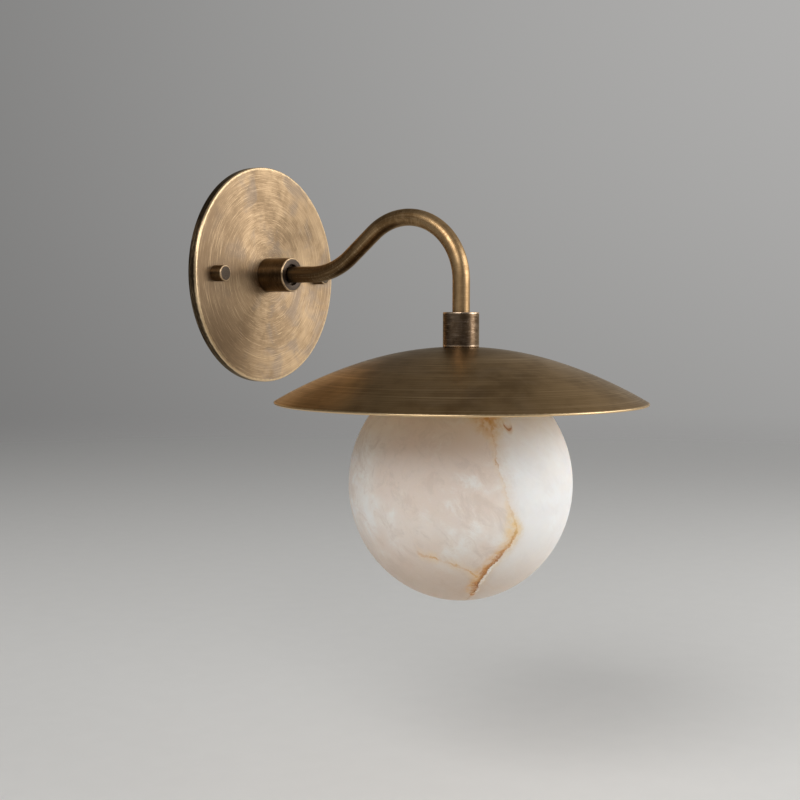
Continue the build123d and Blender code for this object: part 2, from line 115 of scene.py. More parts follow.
# %% A socket that can be used in sums
class Field:
    """One socket of a node tree, for shader maths written as Python sums."""

    def __init__(self, socket):
        self.socket = socket

    def node(self, kind, settings=None, sockets=None, output=0):
        """Any node: its settings first, then the values or links of its sockets."""
        made = self.socket.id_data.nodes.new(kind)
        for name, value in (settings or {}).items():
            if name == "points":
                set_points(made.mapping, value)
            else:
                setattr(made, name, value)
        for name, value in (sockets or {}).items():
            join(made.inputs[name], value)
        return Field(made.outputs[output])

    def math(self, operation, *values):
        return self.node("ShaderNodeMath", {"operation": operation}, dict(enumerate(values)))

    def __add__(self, other):
        return self.math("ADD", self, other)

    def __sub__(self, other):
        return self.math("SUBTRACT", self, other)

    def __rsub__(self, other):
        return self.math("SUBTRACT", other, self)

    def __mul__(self, other):
        return self.math("MULTIPLY", self, other)

    def __truediv__(self, other):
        return self.math("DIVIDE", self, other)

    def __rtruediv__(self, other):
        return self.math("DIVIDE", other, self)

    def __pow__(self, power):
        return self.math("POWER", self, power)

    def __abs__(self):
        return self.math("ABSOLUTE", self)

    __radd__ = __add__
    __rmul__ = __mul__

    def at_least(self, other):
        return self.math("MAXIMUM", self, other)

    def rise(self, low, high):
        """Nought below the low value, one above the high value, and a soft step between."""
        sockets = {"Value": self, "From Min": low, "From Max": high}
        return self.node("ShaderNodeMapRange", {"interpolation_type": "SMOOTHSTEP"}, sockets)

    def fall(self, low, high):
        """One below the low value, nought above the high value, and a soft step between."""
        return self.rise(high, low)

    def mix(self, first, second):
        """The first colour where this field is nought, the second where it is one."""
        settings = {"data_type": "RGBA", "clamp_factor": True}
        return self.node("ShaderNodeMix", settings, {0: self, 6: first, 7: second}, output=2)

    def vector(self, operation, *others, output=0, **named):
        sockets = {0: self, **dict(enumerate(others, 1)), **named}
        return self.node("ShaderNodeVectorMath", {"operation": operation}, sockets, output)

    def turned(self, angles):
        sockets = {"Vector": self, "Rotation": angles}
        return self.node("ShaderNodeVectorRotate", {"rotation_type": "EULER_XYZ"}, sockets)

    def parts(self):
        """The X, Y and Z of a vector as three fields."""
        split = self.node("ShaderNodeSeparateXYZ", None, {0: self})
        return [Field(socket) for socket in split.socket.node.outputs]

    def noise(self, scale, detail=3.0, roughness=0.6, twist=0.0, fourth=None):
        sockets = {"Vector": self, "Scale": scale, "Detail": detail, "Roughness": roughness, "Distortion": twist}
        if fourth is not None:
            sockets["W"] = fourth
        return self.node("ShaderNodeTexNoise", {"noise_dimensions": "3D" if fourth is None else "4D"}, sockets)


def pack(x, y, z):
    """Three values as one vector; at least one of them is a field."""
    field = next(value for value in (x, y, z) if isinstance(value, Field))
    return field.node("ShaderNodeCombineXYZ", None, {"X": x, "Y": y, "Z": z})


def apart(x, y):
    """The straight distance over two sides at a right angle."""
    return (x * x + y * y) ** 0.5


print("shader sums ready:", [name for name in vars(Field) if not name.startswith("__")])

# %% [markdown]
# ## Starting a finish
# Every finish is one Principled shader. What is the same all over is set on its own sockets, and what changes is
# worked out from the place on the piece, in millimetres, so that a scratch or a vein has its real size. A colour is
# built up as a painter does it: a ground first, then thin layers, each with a mask that says where it lies.

# %% Begin a material
def feed(shader, values):
    """Gives sockets of a shader their fields or plain values."""
    for socket, value in values.items():
        join(shader.inputs[socket], value)


def first_field(tree, output):
    """The field that a node tree starts from, one of its texture coordinates."""
    return Field(tree.nodes.new("ShaderNodeTexCoord").outputs[output])


def start_finish(name, constants):
    """A new material, its shader and the place on the piece in millimetres."""
    material = bpy.data.materials.new(name)
    material.use_nodes = True
    shader = material.node_tree.nodes["Principled BSDF"]
    feed(shader, constants)
    return material, shader, first_field(material.node_tree, "Object").vector("SCALE", Scale=1 / MM)


def layered(ground, layers):
    """A colour with others laid over it in turn, each where its mask says."""
    for mask, colour in layers:
        ground = mask.mix(ground, colour)
    return ground


def bump(height, depth, strength):
    """The surface normal over a height field of nought to one that is so many millimetres deep."""
    sockets = {"Strength": strength, "Distance": depth * MM, "Height": height}
    return height.node("ShaderNodeBump", None, sockets)


def wear(mesh, material):
    """Makes a material the only one of a mesh."""
    mesh.materials.clear()
    mesh.materials.append(material)


print("finish helpers ready")

# %% [markdown]
# ## Turning a piece
# The backplate, nuts, hub, coupler, shade and globe are all turned on a lathe. Blender's Screw modifier could turn
# their sections, but a mesh made ring by ring can leave out the doubled points on the axis. Each piece is turned
# about its own Z axis and then stood on the wall or hung on the lamp's axis, so its brush lines run round that axis.

# %% Draw a section
def rounded(corners, steps=5):
    """Section points from corners, each a ring radius, a height and how far from the corner its round starts."""
    points = []
    for number, (ring, height, back) in enumerate(corners):
        here = Vector((ring, height))
        if not back:
            points.append(here)
            continue
        start = here + (Vector(corners[number - 1][:2]) - here).normalized() * back
        end = here + (Vector(corners[(number + 1) % len(corners)][:2]) - here).normalized() * back
        for step in range(steps + 1):
            share = step / steps
            points.append(start * (1 - share) ** 2 + here * 2 * share * (1 - share) + end * share**2)
    return [tuple(point) for point in points]


def spaced(points, step, closed=True):
    """The same section with extra points on its long runs, so that smooth shading stays near the edges."""
    dense = []
    for here, after in zip(points, points[1:] + points[:1] if closed else points[1:]):
        count = max(1, math.ceil(math.dist(here, after) / step))
        for number in range(count):
            share = number / count
            dense.append((here[0] + (after[0] - here[0]) * share, here[1] + (after[1] - here[1]) * share))
    return dense if closed else dense + points[-1:]


print("section helpers ready")

# %% Turn it about the Z axis
def new_piece(name, mesh, sharp=None):
    """An object from a finished bmesh, shaded smooth apart from the edges sharper than an angle."""
    bmesh.ops.recalc_face_normals(mesh, faces=mesh.faces)
    data = bpy.data.meshes.new(name)
    mesh.to_mesh(data)
    mesh.free()
    data.shade_smooth()
    if sharp:
        data.set_sharp_from_angle(angle=math.radians(sharp))
    piece = bpy.data.objects.new(name, data)
    bpy.context.scene.collection.objects.link(piece)
    return piece


def bridge(mesh, rings, closed=True):
    """Faces from each ring of points to the next; a ring on the axis is one point, so its faces have three sides."""
    for lower, upper in zip(rings, rings[1:] + rings[:1] if closed else rings[1:]):
        for corners in zip(lower, lower[1:] + lower[:1], upper[1:] + upper[:1], upper):
            mesh.faces.new(list(dict.fromkeys(corners)))


def turn_section(name, section, segments=48, sharp=None):
    """A mesh turned from section points. A section that starts on the axis ends there too, and any other is closed.
    A ring may be a list of radii, one for each segment."""
    segments = next((len(ring) for ring, _ in section if isinstance(ring, list)), segments)
    angles = [math.tau * turn / segments for turn in range(segments)]
    mesh = bmesh.new()
    rings = []
    for ring, height in section:
        if ring == 0.0:
            rings.append([mesh.verts.new((0.0, 0.0, height * MM))] * segments)
            continue
        radii = ring if isinstance(ring, list) else [ring] * segments
        spots = [(r * math.cos(a) * MM, r * math.sin(a) * MM, height * MM) for r, a in zip(radii, angles)]
        rings.append([mesh.verts.new(spot) for spot in spots])
    bridge(mesh, rings, closed=section[0][0] != 0.0)
    return new_piece(name, mesh, sharp)


print("lathe ready")

# %% Drill it and put it in place
DOUBLED = 0.002
DRILLED_SHARP = 30
OUTWARDS = (0, 0, 1)


def shifted(x=0.0, y=0.0, z=0.0):
    return Matrix.Translation(Vector((x, y, z)) * MM)


def spun(degrees, axis):
    return Matrix.Rotation(math.radians(degrees), 4, axis)


def close_up(mesh):
    """Joins the doubled points and takes out the slivers that a cut or a bevel can leave."""
    bmesh.ops.remove_doubles(mesh, verts=mesh.verts, dist=DOUBLED * MM)
    bmesh.ops.dissolve_degenerate(mesh, dist=DOUBLED * MM, edges=mesh.edges)
    bmesh.ops.triangulate(mesh, faces=[face for face in mesh.faces if len(face.verts) > 4])


def drill(piece, spot, direction, radius, depth):
    """Cuts a hole into a piece with a Boolean, and keeps the result as the piece's own mesh."""
    tool = turn_section("drill", [(0.0, 0.0), (radius, 0.0), (radius, depth), (0.0, depth)])
    tool.matrix_world = shifted(*spot) @ Vector(direction).to_track_quat("Z", "Y").to_matrix().to_4x4()
    cut = piece.modifiers.new("drill", "BOOLEAN")
    cut.operation = "DIFFERENCE"
    cut.solver = "EXACT"
    cut.object = tool
    bpy.context.view_layer.update()
    drilled = bpy.data.meshes.new_from_object(piece.evaluated_get(bpy.context.evaluated_depsgraph_get()))
    piece.modifiers.clear()
    piece.data = drilled
    bpy.data.objects.remove(tool)
    mesh = bmesh.new()
    mesh.from_mesh(drilled)
    close_up(mesh)
    mesh.to_mesh(drilled)
    mesh.free()
    drilled.set_sharp_from_angle(angle=math.radians(DRILLED_SHARP))


AS_PACKED = Matrix.Identity(4)
OFF_WALL = spun(90, "X")
ON_LAMP = shifted(y=-reach)
slot_of = {row["node"]: row["material_slot"] for row in frame["record"]["subparts"]}


def stand_in(piece, placing, body, material, node):
    """Puts a piece in place on its body, instead of the CAD node it stands for."""
    piece.matrix_world = placing
    wear(piece.data, material)
    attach(piece, body)
    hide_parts(node)
    print(piece.name, "rides on", body, "with", len(piece.data.polygons), "faces")


print("drill ready,", len(slot_of), "nodes have a slot")

# %% [markdown]
# ## Aged brass
# The real light is spun and turned from brass, brushed by hand on a lathe, darkened with acid and rubbed back. So the
# strokes run round each piece's own axis, the brown lies in soft clouds, and the edges are painted bright, partly as
# rubbed wear and partly as the highlight that an edge catches. An image could hold all that, but a formula in ring
# radius and angle stays sharp at any distance. The brushing also pulls every highlight out across the strokes, which
# is what the shader's anisotropy does.

# %% Brush strokes
Spin = namedtuple("Spin", "ring cosine sine along")


def polar(place, x=0.0, y=0.0):
    """Distance from the piece's axis, the two sides of the angle round it, and the distance along it."""
    across, up, along = place.parts()
    across, up = across - x, up - y
    ring = apart(across, up)
    return Spin(ring, across / ring, up / ring, along)


def stroke_lines(spin, pitch, spread):
    """Fine lines round the axis: quick to change across them, slow to change along them."""
    spot = pack(spin.ring * (1 / pitch), spin.along * (1 / pitch), spin.cosine * spread)
    return spot.noise(1.0, fourth=spin.sine * spread)


def ring_strokes(pitch, spread, crossing=()):
    """Strokes round the axis; each crossing set has its own centre and a share, as hand brushing wanders."""

    def lines(place, x, y, fine):
        spin = polar(place, x, y)
        return stroke_lines(spin, fine, spread) * 0.6 + stroke_lines(spin, fine * 2.6, spread * 0.7) * 0.4

    def strokes(place):
        total = lines(place, 0.0, 0.0, pitch)
        for number, (x, y, weight) in enumerate(crossing):
            total = total + (lines(place, x, y, pitch * (1.3 + number * 0.4)) - 0.5) * weight
        return total

    return strokes


print("brush strokes ready")

# %% Rubbed edges and scratches
SCRATCH_ANGLES = ((0.4, 0.9, 0.2), (1.1, -0.5, 1.3))
SCRATCHES_ACROSS = 3.2


def edge_wear_and_highlight(spin, edges, ragged):
    """How far a spot is painted bright, as rubbed wear and as the highlight that an edge catches: one on the listed
    edges, each a ring radius, a place along and a width.
    """
    rub = 0.0
    for edge_ring, edge_along, width in edges:
        gap = apart(spin.ring - edge_ring, spin.along - edge_along)
        rub = (gap + (ragged - 0.5) * width).fall(width * 0.25, width).at_least(rub)
    return rub


def scratches(place, lengths, keep):
    """Sparse straight hair scratches in two sets, each with its own angle and length."""
    sets = []
    for angles, length in zip(SCRATCH_ANGLES, lengths):
        drawn = place.turned(angles).vector("MULTIPLY", (1 / length, SCRATCHES_ACROSS, SCRATCHES_ACROSS))
        sets.append(drawn.noise(1.0, 2.0, 0.5).rise(keep, keep + 0.05))
    return sets[0].at_least(sets[1])


print("wear ready")

# %% [markdown]
# One function mixes the finish: clouds of patina between a light and a deep brass, brush strokes, pits, hair
# scratches and bright edges, partly rubbed wear and partly painted highlight. Each piece then chooses its own
# colours:
# the shade, arm, coupler, hub and nuts get darker colours than the backplate as painted shade, because they mirror
# darker parts of the room.

# %% Mix a brass
GREY_BROWN = (0.255, 0.205, 0.165)
WARM_EDGE = (1.0, 0.89, 0.74)
INK_SHARES = (0.4, 0.37, 0.35)
QUARTER_TURN = 0.25
BRUSH_DEPTH = 0.014


def mix_brass(name, strokes, light, deep, rubbed_and_highlight, contrast, marks, edges=(), zones=(), cloud=0.03,
              patina=(0.38, 0.66), rough=0.36, grey=0.0, pull=0.55):
    """A brass; the zones are colours for parts of the piece, each with a function that says where it lies."""
    material, shader, place = start_finish(name, {
        "Metallic": 1.0, "Specular Tint": WARM_EDGE, "Anisotropic": pull, "Anisotropic Rotation": QUARTER_TURN,
    })
    spin = polar(place)
    grain = strokes(place)
    clouds = place.noise(cloud, 3.0, 0.55, 0.6) * 0.65 + place.noise(cloud * 5, 3.0, 0.55, 0.3) * 0.35
    brown = (clouds + (grain - 0.5) * 0.25).rise(*patina)
    dull = place.noise(cloud * 1.9, 3.0, 0.55, 0.5).rise(0.50, 0.68) * grey
    hair = scratches(place, (8.0, 6.0), 0.70) * marks
    pits = place.noise(1.1, 3.0, 0.7).rise(0.67, 0.75) * marks
    layers = [(dull, GREY_BROWN)]
    layers += [(where(spin), colour) for where, colour in zones]
    layers += [(grain.rise(0.50, 0.72) * contrast, deep), (grain.fall(0.30, 0.50) * contrast * 0.7, rubbed_and_highlight)]
    layers += [(hair * 0.6 + pits * 0.7, tuple(value * share for value, share in zip(deep, INK_SHARES)))]
    roughness = rough + (grain - 0.5) * 0.2 + brown * 0.05 + pits * 0.1 + dull * 0.06
    # Bright edges: partly rubbed wear, partly painted highlight.
    if edges:
        rub = edge_wear_and_highlight(spin, edges, place.noise(0.5))
        layers += [(rub * 0.9, rubbed_and_highlight)]
        roughness = roughness - rub * 0.06
    feed(shader, {
        "Base Color": layered(brown.mix(light, deep), layers),
        "Roughness": roughness,
        "Normal": bump(grain * 0.8 - pits * 0.6 - hair * 0.3, BRUSH_DEPTH, 0.5),
    })
    return material


print("brass recipe ready")

# %% [markdown]
# ## Backplate
# A shallow spun dish, 127 mm across, that covers the wall box. Its face is brushed in arcs that cross a little, its
# rim side is painted almost black as shade, and the turned edge between them is painted bright gold, partly as rubbed
# wear and partly as the highlight it catches. It could be a plain disc, but then nothing would hide behind it, so it
# is turned as a dish. Two holes let the studs through, each with a shallow pocket for the nut's washer.

# %% Backplate
SIDES = (("left", -1), ("right", 1))
canopy_radius = size("canopy").x / 2
canopy_depth = -ends("canopy")[0].y
CANOPY_WALL, CANOPY_EDGE = 1.5, 0.9
NIPPLE_HOLE = 5.2
STUD_HOLE, POCKET_RADIUS, POCKET_DEPTH = 2.2, 4.0, 0.5
dish_radius, dish_floor = canopy_radius - CANOPY_WALL, canopy_depth - CANOPY_WALL
canopy_section = rounded([
    (canopy_radius, 0.0, 0.3), (canopy_radius, canopy_depth, CANOPY_EDGE), (NIPPLE_HOLE, canopy_depth, 0.0),
    (NIPPLE_HOLE, dish_floor, 0.0), (dish_radius, dish_floor, 1.0), (dish_radius, 0.0, 0.0),
])
backplate = turn_section("backplate", spaced(canopy_section, 2.0), 192, sharp=35)
for _, sign in SIDES:
    for radius, back, depth in ((STUD_HOLE, 3.0, 4.0), (POCKET_RADIUS, POCKET_DEPTH, 2.0)):
        drill(backplate, (sign * stud_x, 0.0, canopy_depth - back), OUTWARDS, radius, depth)
print("backplate", round(2 * canopy_radius, 1), "mm across")

# %% Backplate brass
def rim_side_shade(spin):
    """Painted shade: the side of the rim, up to the bright edge, is painted almost black."""
    side = spin.ring.rise(canopy_radius - 0.35, canopy_radius - 0.1)
    return side * spin.along.fall(canopy_depth - 0.9, canopy_depth - 0.6)


def hub_corner_shade(spin):
    """Painted shade in the corner between the backplate and the hub."""
    return spin.ring.fall(10.0, 21.0) * 0.55


def dark_side(spin):
    """The face is darker towards the left."""
    return (spin.ring * (spin.cosine * -1.0 - spin.sine * 0.1)).rise(2.0, 50.0) * 0.88


backplate_brass = mix_brass(
    "backplate_brass", ring_strokes(0.21, 2.8, ((6.0, 5.0, 0.5), (-8.0, 4.0, 0.4))),
    light=(0.445, 0.313, 0.186), deep=(0.27, 0.184, 0.107), rubbed_and_highlight=(0.72, 0.54, 0.33),
    edges=[(canopy_radius - 0.25, canopy_depth - 0.25, 1.5)],
    zones=[(dark_side, (0.185, 0.125, 0.075)), (hub_corner_shade, (0.19, 0.13, 0.08)), (rim_side_shade, (0.020, 0.013, 0.007))],
    contrast=0.75, patina=(0.38, 0.64), marks=0.45, grey=0.6, pull=0.8,
)
stand_in(backplate, OFF_WALL, "wall_frame", backplate_brass, "canopy")

# %% [markdown]
# ## Hub and cap nuts
# These are turned from bar and painted much darker than the backplate, as shade. Only their chamfers are painted as
# bright rings, partly rubbed wear and partly painted highlight, and their end faces and the hub's recess are painted
# dark grey, as the reflection of a dark room and the shade in the recess. Cylinders with a bevel would look alike
# from afar, but the lathe also gives the hub its recess round the arm, its socket and its thread bore.

# %% Hub
hub_radius = size("arm_hub").x / 2
hub_front = -ends("arm_hub")[0].y
HUB_EDGE = 0.6
HUB_RECESS, HUB_RECESS_DEPTH = 6.2, 2.5
TUBE_SOCKET, TUBE_START = 4.8, 13.5
THREAD_BORE = 5.05
GRUB_HOLE, HUB_GRUB_BACK = 2.05, 8.0
recess_floor = hub_front - HUB_RECESS_DEPTH
hub_section = rounded([
    (hub_radius, canopy_depth, 0.2), (hub_radius, hub_front, HUB_EDGE), (HUB_RECESS, hub_front, 0.3),
    (HUB_RECESS, recess_floor, 0.0), (TUBE_SOCKET, recess_floor, 0.0), (TUBE_SOCKET, TUBE_START, 0.0),
    (THREAD_BORE, TUBE_START, 0.0), (THREAD_BORE, canopy_depth, 0.0),
])
hub = turn_section("turned_hub", spaced(hub_section, 1.5), 96, sharp=35)
drill(hub, (0.0, 0.0, hub_front - HUB_GRUB_BACK), (0, -1, 0), GRUB_HOLE, 2 * hub_radius)


def end_face(radius, front):
    """The flat end of a turned piece, inside its bright edge."""

    def where(spin):
        return spin.along.rise(front - 0.3, front - 0.1) * spin.ring.fall(radius - 0.9, radius - 0.6)

    return where


# Painted reflection and shade: the end face is painted dark grey, as the dark room it mirrors, and the recess round
# the arm as the shade in it.
def hub_face_shade(spin):
    return end_face(hub_radius, hub_front)(spin).at_least(spin.ring.fall(HUB_RECESS + 0.2, HUB_RECESS + 0.4) * 0.9)


hub_brass = mix_brass(
    "hub_brass", ring_strokes(0.2, 2.0),
    light=(0.115, 0.071, 0.034), deep=(0.055, 0.032, 0.015), rubbed_and_highlight=(0.50, 0.36, 0.22),
    edges=[(hub_radius - 0.25, hub_front - 0.25, 0.8)], zones=[(hub_face_shade, (0.070, 0.055, 0.046))],
    contrast=0.45, cloud=0.08, rough=0.34, marks=0.35,
)
stand_in(hub, OFF_WALL, "wall_frame", hub_brass, "arm_hub")

# %% Cap nuts
nut_radius = size("left_cap_nut").x / 2
nut_front = -ends("left_cap_nut")[0].y
NUT_BORE, NUT_CROWN, NUT_EDGE = 2.05, 0.9, 0.55
nut_brass = mix_brass(
    "nut_brass", ring_strokes(0.16, 2.0),
    light=(0.17, 0.108, 0.054), deep=(0.085, 0.052, 0.026), rubbed_and_highlight=(0.52, 0.38, 0.24),
    edges=[(nut_radius - 0.22, nut_front - 0.22, 0.7)],
    # Painted reflection: the end face is painted dark grey, as the dark room it mirrors.
    zones=[(end_face(nut_radius, nut_front), (0.075, 0.059, 0.048))],
    contrast=0.45, cloud=0.11, rough=0.34, marks=0.35,
)
nut_section = rounded([
    (0.0, nut_front, 0.0), (nut_radius, nut_front, NUT_EDGE), (nut_radius, canopy_depth, 0.15),
    (NUT_BORE, canopy_depth, 0.1), (NUT_BORE, nut_front - NUT_CROWN, 0.0), (0.0, nut_front - NUT_CROWN, 0.0),
])
for side, sign in SIDES:
    nut = turn_section(f"{side}_turned_nut", spaced(nut_section, 1.0, closed=False), 72, sharp=40)
    stand_in(nut, shifted(sign * stud_x) @ OFF_WALL, f"{side}_nut", nut_brass, f"{side}_cap_nut")

# %% [markdown]
# ## Shade
# The shade is spun from sheet over a former. A single arc would be close, but the real dome is rounder at its
# crown, so the section is two arcs that meet smoothly, with the cut rim rounded off.

# %% Shade from two arcs
SHEET, RIM_ROUND = 1.2, 0.5
CROWN_ARC, CROWN_REACH, SKIRT_ARC = 175.0, 53.3, 240.0
SEAT_RADIUS = 11.0
shade_seat = ends("shade_coupler")[0].z
shade_radius = size("shade").x / 2
crown_middle = shade_seat - math.sqrt(CROWN_ARC**2 - SEAT_RADIUS**2)
lean = math.asin(CROWN_REACH / CROWN_ARC)
skirt_middle = (CROWN_REACH - SKIRT_ARC * math.sin(lean), crown_middle + (CROWN_ARC - SKIRT_ARC) * math.cos(lean))
rim_lean = math.asin((shade_radius - skirt_middle[0]) / SKIRT_ARC)


def arc_points(centre, radius, start, end, count):
    """Points on an arc, as ring radius and height, by angles from straight up."""
    steps = [start + (end - start) * step / (count - 1) for step in range(count)]
    return [(centre[0] + radius * math.sin(angle), centre[1] + radius * math.cos(angle)) for angle in steps]


def sheet_side(inset):
    """One face of the sheet, from its flat seat round the nipple to just short of the rim."""
    seat = shade_seat - inset
    crown = CROWN_ARC - inset
    seat_lean = math.acos((seat - crown_middle) / crown)
    flat = spaced([(NIPPLE_HOLE, seat), (crown * math.sin(seat_lean), seat)], 1.0, closed=False)
    upper = arc_points((0.0, crown_middle), crown, seat_lean, lean, 18)
    lower = arc_points(skirt_middle, SKIRT_ARC - inset, lean, rim_lean - RIM_ROUND / SKIRT_ARC, 24)
    return flat + upper[1:] + lower[1:]


def rim_points(count=9):
    """The rounded cut edge of the sheet, from its outer face to its inner face."""
    spots = []
    for turn in range(1, count):
        angle = math.pi * turn / count
        inset = SHEET / 2 * (1 - math.cos(angle))
        here = rim_lean - RIM_ROUND * (1 - math.sin(angle)) / SKIRT_ARC
        spots += arc_points(skirt_middle, SKIRT_ARC - inset, here, here, 2)[:1]
    return spots


outer, inner = sheet_side(0.0), sheet_side(SHEET)
dome = turn_section("spun_shade", outer + rim_points() + inner[::-1], 224, sharp=60)
print("shade", round(2 * shade_radius, 1), "mm across")

# %% Shade brass
def underside(spin):
    """The hollow side of the shade is left bright, so that it throws warm light on the globe."""
    return spin.ring.node("ShaderNodeNewGeometry", output="Normal").parts()[2].fall(-0.5, -0.1)


def seat_shade(spin):
    """Painted shade: the dome is painted darker round the coupler, standing in for the dark reflections there."""
    return spin.ring.fall(12.0, 58.0) * 0.9


def wall_facing_shade(spin):
    """Painted shade: the side next to the wall is painted darker, as the dark wall it mirrors."""
    return (spin.ring * spin.sine).rise(15.0, 90.0) * 0.6


rim_ring, rim_height = outer[-1]
shade_brass = mix_brass(
    "shade_brass", ring_strokes(0.42, 1.4),
    light=(0.245, 0.158, 0.075), deep=(0.135, 0.081, 0.035), rubbed_and_highlight=(0.68, 0.50, 0.29),
    # The rim's bright line is partly rubbed wear and partly a painted highlight.
    edges=[(rim_ring, rim_height - 0.5, 1.1)],
    zones=[
        (wall_facing_shade, (0.150, 0.095, 0.046)), (seat_shade, (0.075, 0.045, 0.020)), (underside, (0.72, 0.51, 0.28)),
    ],
    contrast=0.6, cloud=0.018, marks=0.3, grey=0.1, pull=0.5,
)
stand_in(dome, ON_LAMP, "wall_frame", shade_brass, "shade")

# %% [markdown]
# ## Arm tube
# The arm is one drawn tube bent in two places: a slow rise from the hub and a tight arch over the shade. A curve
# with a round bevel would draw it, but it could not carry the tube's bore or the length that its drawn lines run
# along, so the tube is built ring by ring along straight runs and arcs.

# %% Bend the tube's middle line
LEAD_OUT, LOWER_BEND, RISE_RUN, ARCH = 15.4, 42.4, 20.8, 35.4
RISE_ANGLE = math.radians(39.2)
RING_STEP = 1.2
tube_low, tube_high = ends("arm_tube")


def arm_centreline():
    """Points of the tube's middle line with the direction there, as distance from the wall and height."""
    heading = 0.0
    spot = Vector((-tube_high.y, 0.0))
    line = [(spot.copy(), heading)]

    def ahead(length):
        nonlocal spot
        count = max(2, round(length / RING_STEP))
        for _ in range(count):
            spot = spot + Vector((math.cos(heading), math.sin(heading))) * length / count
            line.append((spot.copy(), heading))

    def bend(radius, angle):
        nonlocal spot, heading
        count = max(8, round(radius * abs(angle) / RING_STEP))
        side = math.copysign(1.0, angle)
        pivot = spot + Vector((-math.sin(heading), math.cos(heading))) * radius * side
        for _ in range(count):
            heading += angle / count
            spot = pivot + Vector((math.sin(heading), -math.cos(heading))) * radius * side
            line.append((spot.copy(), heading))

    ahead(hub_front + LEAD_OUT - spot.x)
    bend(LOWER_BEND, RISE_ANGLE)
    ahead(RISE_RUN)
    bend(ARCH, -(math.pi / 2 + RISE_ANGLE))
    ahead(spot.y - tube_low.z)
    return line


arm_line = arm_centreline()
print("arm bent in", len(arm_line), "steps")

# %% Sweep the tube
TUBE_WALL = 1.0
tube_radius = size("arm_tube").x / 2


def sweep_tube(name, line, radius, bore, segments=48):
    """A tube along a line in the arm's own plane; every vertex keeps its length along it and its angle round it."""
    mesh = bmesh.new()
    lay = mesh.verts.layers.float_vector.new("lay")
    loops = {radius: [], bore: []}
    length = 0.0
    for number, (spot, heading) in enumerate(line):
        if number:
            length += (spot - line[number - 1][0]).length
        out = Vector((0.0, math.sin(heading), math.cos(heading)))
        for ring, rings in loops.items():
            rings.append([])
            for turn in range(segments):
                angle = math.tau * turn / segments
                corner = Vector((0.0, -spot.x, spot.y)) + out * ring * math.cos(angle)
                corner.x = ring * math.sin(angle)
                vertex = mesh.verts.new(corner * MM)
                vertex[lay] = (length, math.cos(angle), math.sin(angle))
                rings[-1].append(vertex)
    bridge(mesh, loops[radius] + loops[bore][::-1])
    return new_piece(name, mesh, sharp=40)


arm = sweep_tube("bent_arm", arm_line, tube_radius, tube_radius - TUBE_WALL)
print("arm swept with", len(arm.data.vertices), "points")

# %% Tube brass
def along_tube(field):
    """The length along the tube and the two sides of the angle round it."""
    return field.node("ShaderNodeAttribute", {"attribute_name": "lay"}, output=1).parts()


def drawn_lines(place):
    """Lines along the tube, with a few rubbed marks round it."""
    run, cosine, sine = along_tube(place)
    long_lines = pack(run * 0.03, cosine * 7.0, sine * 7.0).noise(1.0)
    cross_lines = pack(run * 2.2, cosine * 0.9, sine * 0.9).noise(1.0)
    return long_lines * 0.55 + cross_lines * 0.45


def hub_end(spin):
    """The tube is darker next to the hub."""
    return along_tube(spin.ring)[0].fall(30.0, 125.0) * 0.85


def arch_end(spin):
    """The tube is lighter from the arch down over the shade."""
    return along_tube(spin.ring)[0].rise(95.0, 150.0) * 0.38


tube_brass = mix_brass(
    "tube_brass", drawn_lines,
    light=(0.345, 0.222, 0.108), deep=(0.18, 0.106, 0.045), rubbed_and_highlight=(0.68, 0.51, 0.31),
    zones=[(hub_end, (0.085, 0.050, 0.023)), (arch_end, (0.54, 0.36, 0.19))],
    contrast=0.55, cloud=0.07, patina=(0.40, 0.58), marks=0.9, pull=0.0,
)
stand_in(arm, AS_PACKED, "wall_frame", tube_brass, "arm_tube")

# %% [markdown]
# ## Coupler
# A short turned sleeve joins the arm to the shade. Both ends have a fine chamfer that catches the light, and its
# grub screw hides on the wall side. It is turned and drilled as the hub is.

# %% Coupler
coupler_low, coupler_high = ends("shade_coupler")
coupler_radius = size("shade_coupler").x / 2
COUPLER_EDGE, COUPLER_GRUB_DROP = 0.6, 5.0
coupler_section = rounded([
    (coupler_radius, coupler_low.z, COUPLER_EDGE), (coupler_radius, coupler_high.z, COUPLER_EDGE),
    (TUBE_SOCKET, coupler_high.z, 0.2), (TUBE_SOCKET, tube_low.z, 0.0), (THREAD_BORE, tube_low.z, 0.0),
    (THREAD_BORE, coupler_low.z, 0.0),
])
coupler = turn_section("turned_coupler", spaced(coupler_section, 1.5), 96, sharp=35)
drill(coupler, (0.0, 0.0, coupler_high.z - COUPLER_GRUB_DROP), (0, 1, 0), GRUB_HOLE, 2 * coupler_radius)
coupler_brass = mix_brass(
    "coupler_brass", ring_strokes(0.22, 2.5),
    light=(0.165, 0.110, 0.067), deep=(0.064, 0.040, 0.023), rubbed_and_highlight=(0.66, 0.50, 0.36),
    # The band just above the bottom is a painted highlight, the light the chamfer catches from the dome; the top edge
    # is partly rubbed wear and partly painted highlight.
    edges=[(coupler_radius, coupler_low.z + 0.6, 1.0), (coupler_radius - 0.25, coupler_high.z - 0.25, 0.9)],
    contrast=0.6, cloud=0.08, rough=0.28, marks=0.7, grey=0.2, pull=0.0,
)
stand_in(coupler, ON_LAMP, "wall_frame", coupler_brass, "shade_coupler")

# %% [markdown]
# ## Alabaster globe
# The globe is turned from a block of alabaster and polished. A sphere would be too round and too solid: the real one
# follows a slightly tall ellipse, ends in a flat neck and is hollow. So its section runs from the bottom up the
# outside, over the neck and down the inside.

# %% Turn the globe
GLOBE_HALF_HEIGHT, GLOBE_WALL = 63.7, 9.0
NECK_BORE, NECK_ROUND = 27.05, 0.6
globe_low, globe_high = ends("alabaster_globe")
globe_radius = size("alabaster_globe").x / 2
globe_middle = globe_low.z + GLOBE_HALF_HEIGHT


